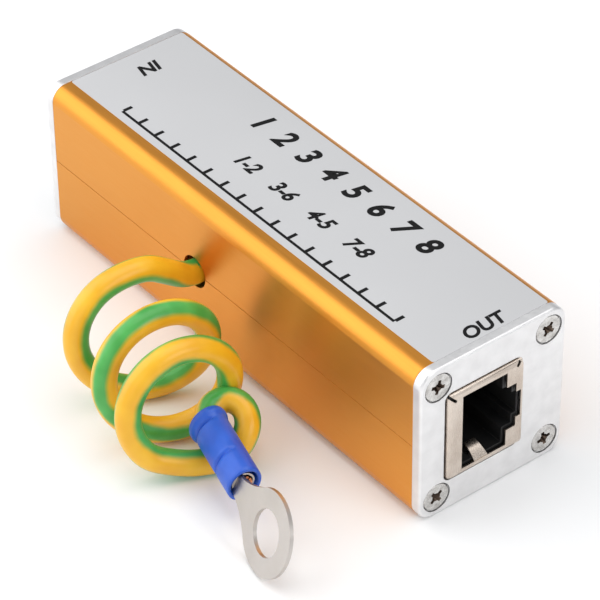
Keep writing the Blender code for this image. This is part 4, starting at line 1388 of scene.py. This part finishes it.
@dataclass
class EarthLead:
    """The earth lead on the route of its CAD solids, with the stripe turned as the lead twists.

    Attributes:
        terminal: the terminal that it goes into.
        radius: its radius over the insulation, with the mesh's sides and the step between its rings.
        hole_x: the place of its hole in the case, with exit_y and seam for the hole's Y and Z.
        board_y: where its hidden end meets the board.
        ground: how far it keeps off the ground.
        start_points: its middle from the hole to the first loop.
        coil_start: where the loops start, heading their direction about Z and advance their pitch.
        side_radius: half the loops' width, and its change with each turn.
        rise_radius: half their height, and its change with each turn.
        phase: where on the loop the coil starts.
        turns: the number of turns, and turn_steps the places on each.
        end_points: its middle from the last loop through the small curl.
        into_terminal: the last places, along the barrel's axis.
        exit_sides: the stripe's side at numbered places of the start, as right, up and nearer.
        stripe_turns: the same after so many turns.
        end_sides: the same at numbered places of the curl.
        view: right, up and nearer in the world, as the camera sees them.
    """

    terminal: Terminal
    radius: float = 1.9
    sides: int = 28
    step: float = 0.55
    hole_x: float = -7.3
    exit_y: float = -13.05
    board_y: float = 3.45
    seam: float = 13.1
    ground: float = 0.04
    start_points: tuple[tuple[float, float, float], ...] = (
        (-7.3, -15.1, 13.60),
        (-7.3, -17.9, 15.6),
        (-7.2, -21.3, 17.9),
        (-7.5, -25.4, 18.4),
    )
    coil_start: tuple[float, float] = (-7.3, -24.8)
    heading: float = math.radians(-15.6)
    advance: tuple[float, float] = (12.1, -1.05)
    side_radius: tuple[float, float] = (9.2, -0.40)
    rise_radius: tuple[float, float] = (8.3, 0.17)
    phase: float = math.radians(6.0)
    turns: float = 2.375
    turn_steps: int = 16
    end_points: tuple[tuple[float, float, float], ...] = (
        (15.70, -31.26, 2.11),
        (17.57, -27.23, 2.10),
        (18.55, -25.99, 3.22),
        (18.86, -24.61, 4.55),
        (18.43, -23.31, 5.93),
        (17.31, -22.38, 7.20),
        (15.65, -22.23, 8.16),
        (14.03, -23.17, 8.57),
        (13.24, -24.90, 8.34),
        (13.70, -26.67, 7.78),
    )
    into_terminal: tuple[float, ...] = (0.2, 1.3, 4.6)
    exit_sides: Sides = field(
        default_factory=lambda: {0: (0.0, 0.95, 0.3), 2: (0.0, -0.9, 0.4), 4: (0.0, -0.9, 0.45)}
    )
    stripe_turns: Sides = field(
        default_factory=lambda: {
            0.0625: (0.4, -0.8, 0.45),
            0.25: (0.87, 0.0, 0.5),
            0.375: (0.6, 0.6, 0.5),
            0.5625: (0.0, 0.3, 0.95),
            0.875: (0.98, 0.1, 0.0),
            1.0: (0.0, 0.4, 0.92),
            1.25: (-0.35, 0.0, 0.93),
            1.375: (-0.1, 0.0, 0.95),
            1.5625: (0.0, -0.7, 0.65),
            1.8125: (-0.75, -0.45, 0.4),
            2.0: (0.0, -0.9, 0.25),
            2.25: (0.88, 0.0, 0.42),
            2.375: (0.3, 0.8, 0.5),
        }
    )
    end_sides: Sides = field(
        default_factory=lambda: {
            0: (0.0, 0.85, 0.5),
            4: (0.98, 0.0, -0.19),
            7: (0.0, 0.9, 0.44),
            8: (-0.4, 0.4, 0.8),
            9: (-0.2, 0.0, 0.95),
        }
    )
    view: tuple[tuple[float, float, float], ...] = (
        (0.612, 0.791, 0.0),
        (-0.496, 0.384, 0.779),
        (0.616, -0.476, 0.628),
    )

    def seen(self, side: Point) -> Vector:
        """The direction in the world of a side given as right, up and nearer."""
        return sum((Vector(axis) * part for axis, part in zip(self.view, side)), Vector())

    def coil_point(self, turn: float) -> Vector:
        """The middle of the lead in the loops.

        Args:
            turn: the number of turns, counted from the top of the first loop.

        Returns:
            The place.
        """
        along = Vector((math.cos(self.heading), math.sin(self.heading), 0))
        across = along.cross(Vector((0, 0, 1)))
        angle = math.tau * turn + self.phase
        side = (self.side_radius[0] + self.side_radius[1] * turn) * math.sin(angle)
        rise = (self.rise_radius[0] + self.rise_radius[1] * turn) * (1 + math.cos(angle))
        start = Vector((*self.coil_start, self.radius + self.ground + rise))
        return start + along * (self.advance[0] * turn + self.advance[1] * turn**2) + across * side

    def guides(self) -> tuple[list[Vector], list[tuple[int, Vector]]]:
        """The places that the lead goes through.

        Returns:
            The places, and the numbers of those where the stripe's side is given, with that side.
        """
        guides = [Vector((self.hole_x, self.exit_y, self.seam)), *(Vector(p) for p in self.start_points)]
        keys = [(number, self.seen(side)) for number, side in self.exit_sides.items()]
        for number in range(1, round(self.turns * self.turn_steps) + 1):
            turn = number / self.turn_steps
            guides.append(self.coil_point(turn))
            if turn in self.stripe_turns:
                keys.append((len(guides) - 1, self.seen(self.stripe_turns[turn])))
        for number, point in enumerate(self.end_points):
            guides.append(Vector(point))
            if number in self.end_sides:
                keys.append((len(guides) - 1, self.seen(self.end_sides[number])))
        guides += [self.terminal.point(along) for along in self.into_terminal]
        return guides, keys

    def build(self, carried: Sequence[bpy.types.Object]) -> None:
        """Builds the lead and its hidden tail.

        Args:
            carried: the pieces that hang on the lead's end; not used.
        """
        guides, keys = self.guides()
        route, marks = smooth_route(guides, self.step)
        bm = tube(route, self.radius, self.sides, [(marks[number], side) for number, side in keys])
        nodes = ("earth_lead_start", "earth_lead_coil", "earth_lead_end")
        lead = piece("earth_lead_pvc", bm, EARTH_PVC, nodes, smooth=60)
        halfway = (self.board_y + self.exit_y) / 2
        tail = [Vector((self.hole_x, y, self.seam)) for y in (self.board_y, halfway, self.exit_y)]
        inner = tube(tail, self.radius, self.sides, [(0, Vector((0, 0, 1)))])
        piece("earth_lead_tail", inner, EARTH_PVC, ("earth_lead_inner",), smooth=60)


@dataclass
class Board:
    """The board and its parts, which keep their CAD shapes inside the closed case.

    Attributes:
        rows: the number of each kind of part, one for each pair of wires.
    """

    rows: int = 4

    def build(self) -> None:
        """Gives each hidden node its finish."""
        kinds = (("gas_tube", ALUMINA), ("resistor_array", GLAZED_CHIP), ("diode_array", MOULDED_EPOXY))
        dressed = [("circuit_board", SOLDER_RESIST), ("earth_core_inner", DRAWN_COPPER)]
        dressed += [(f"{kind}_{row}", finish) for kind, finish in kinds for row in range(1, self.rows + 1)]
        for name, finish in dressed:
            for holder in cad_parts[name].material_slots:
                holder.material = finish.material()
        log.info("board and %d parts on it", len(dressed) - 2)


@dataclass
class Studio:
    """Plain pale floor, soft light and the camera at the photograph's angle.

    Attributes:
        eye: the camera's place in metres, and angles its turn in degrees.
        lens: its focal length, with sensor for its film's width in mm and nearest for the first
            distance that it sees, in metres.
        sky_colour: the colour of the surroundings, and sky their strength.
        floor_half: half the floor's width in metres.
        lamps: each lamp's name, place, aim, width and power.
    """

    eye: tuple[float, float, float] = (0.30975168, -0.23906902, 0.32116508)
    angles: tuple[float, float, float] = (51.12921892, 0.60887965, 51.77824221)
    lens: float = 205.5738
    sensor: float = 36.0
    nearest: float = 0.01
    sky_colour: str = "F2F4F7"
    sky: float = 0.52
    floor_half: float = 1.5
    lamps: tuple[tuple[str, Point, Point, float, float], ...] = (
        ("soft_top", (0.05, 0.15, 0.80), (0.0, -0.01, 0.01), 0.7, 2.6),
        ("soft_left", (-0.62, -0.54, 0.58), (0.0, -0.01, 0.01), 1.35, 9.0),
        ("soft_right", (0.75, 0.15, 0.45), (0.0, -0.01, 0.01), 0.45, 1.6),
        ("soft_front", (0.35, -0.75, 0.35), (0.0, -0.02, 0.01), 0.6, 0.8),
    )

    def floor(self) -> None:
        """A wide pale floor with a faintly uneven tone."""
        bm = bmesh.new()
        bmesh.ops.create_grid(bm, x_segments=1, y_segments=1, size=self.floor_half)
        mesh = bpy.data.meshes.new("floor")
        bm.to_mesh(mesh)
        bm.free()
        mesh.materials.append(WHITE_PAPER.material())
        floor = bpy.data.objects.new("floor", mesh)
        bpy.context.scene.collection.objects.link(floor)

    def light(self) -> None:
        """The pale surroundings, the soft lamps and a view that shows colours as their hex values say."""
        world = bpy.data.worlds.new("studio")
        world.use_nodes = True
        back = world.node_tree.nodes["Background"]
        back.inputs["Color"].default_value = linear(self.sky_colour)
        back.inputs["Strength"].default_value = self.sky
        bpy.context.scene.world = world
        bpy.context.scene.view_settings.view_transform = "Standard"
        for name, place, aim, size, power in self.lamps:
            lamp = bpy.data.lights.new(name, "AREA")
            lamp.shape, lamp.size, lamp.energy = "SQUARE", size, power
            holder = bpy.data.objects.new(name, lamp)
            holder.location = place
            holder.rotation_euler = (Vector(aim) - Vector(place)).to_track_quat("-Z", "Y").to_euler()
            bpy.context.scene.collection.objects.link(holder)

    def camera(self) -> None:
        """The camera, where the photograph was taken from."""
        data = bpy.data.cameras.new("camera")
        data.lens, data.sensor_width, data.clip_start = self.lens, self.sensor, self.nearest
        camera = bpy.data.objects.new("camera", data)
        camera.location = self.eye
        camera.rotation_euler = tuple(math.radians(angle) for angle in self.angles)
        bpy.context.scene.collection.objects.link(camera)
        bpy.context.scene.camera = camera

    def build(self) -> None:
        """Sets up floor, light and camera."""
        self.floor()
        self.light()
        self.camera()
        log.info("studio set up")


def main() -> None:
    logging.basicConfig(level=logging.INFO, format="%(message)s")
    Studio().build()
    terminal = Terminal()
    EarthLead(terminal).build(terminal.build())
    Case().build()
    Label().build()
    for end in End:
        EndPlate(end).build()
        Socket(end).build()
    Board().build()


if __name__ == "__main__":
    main()
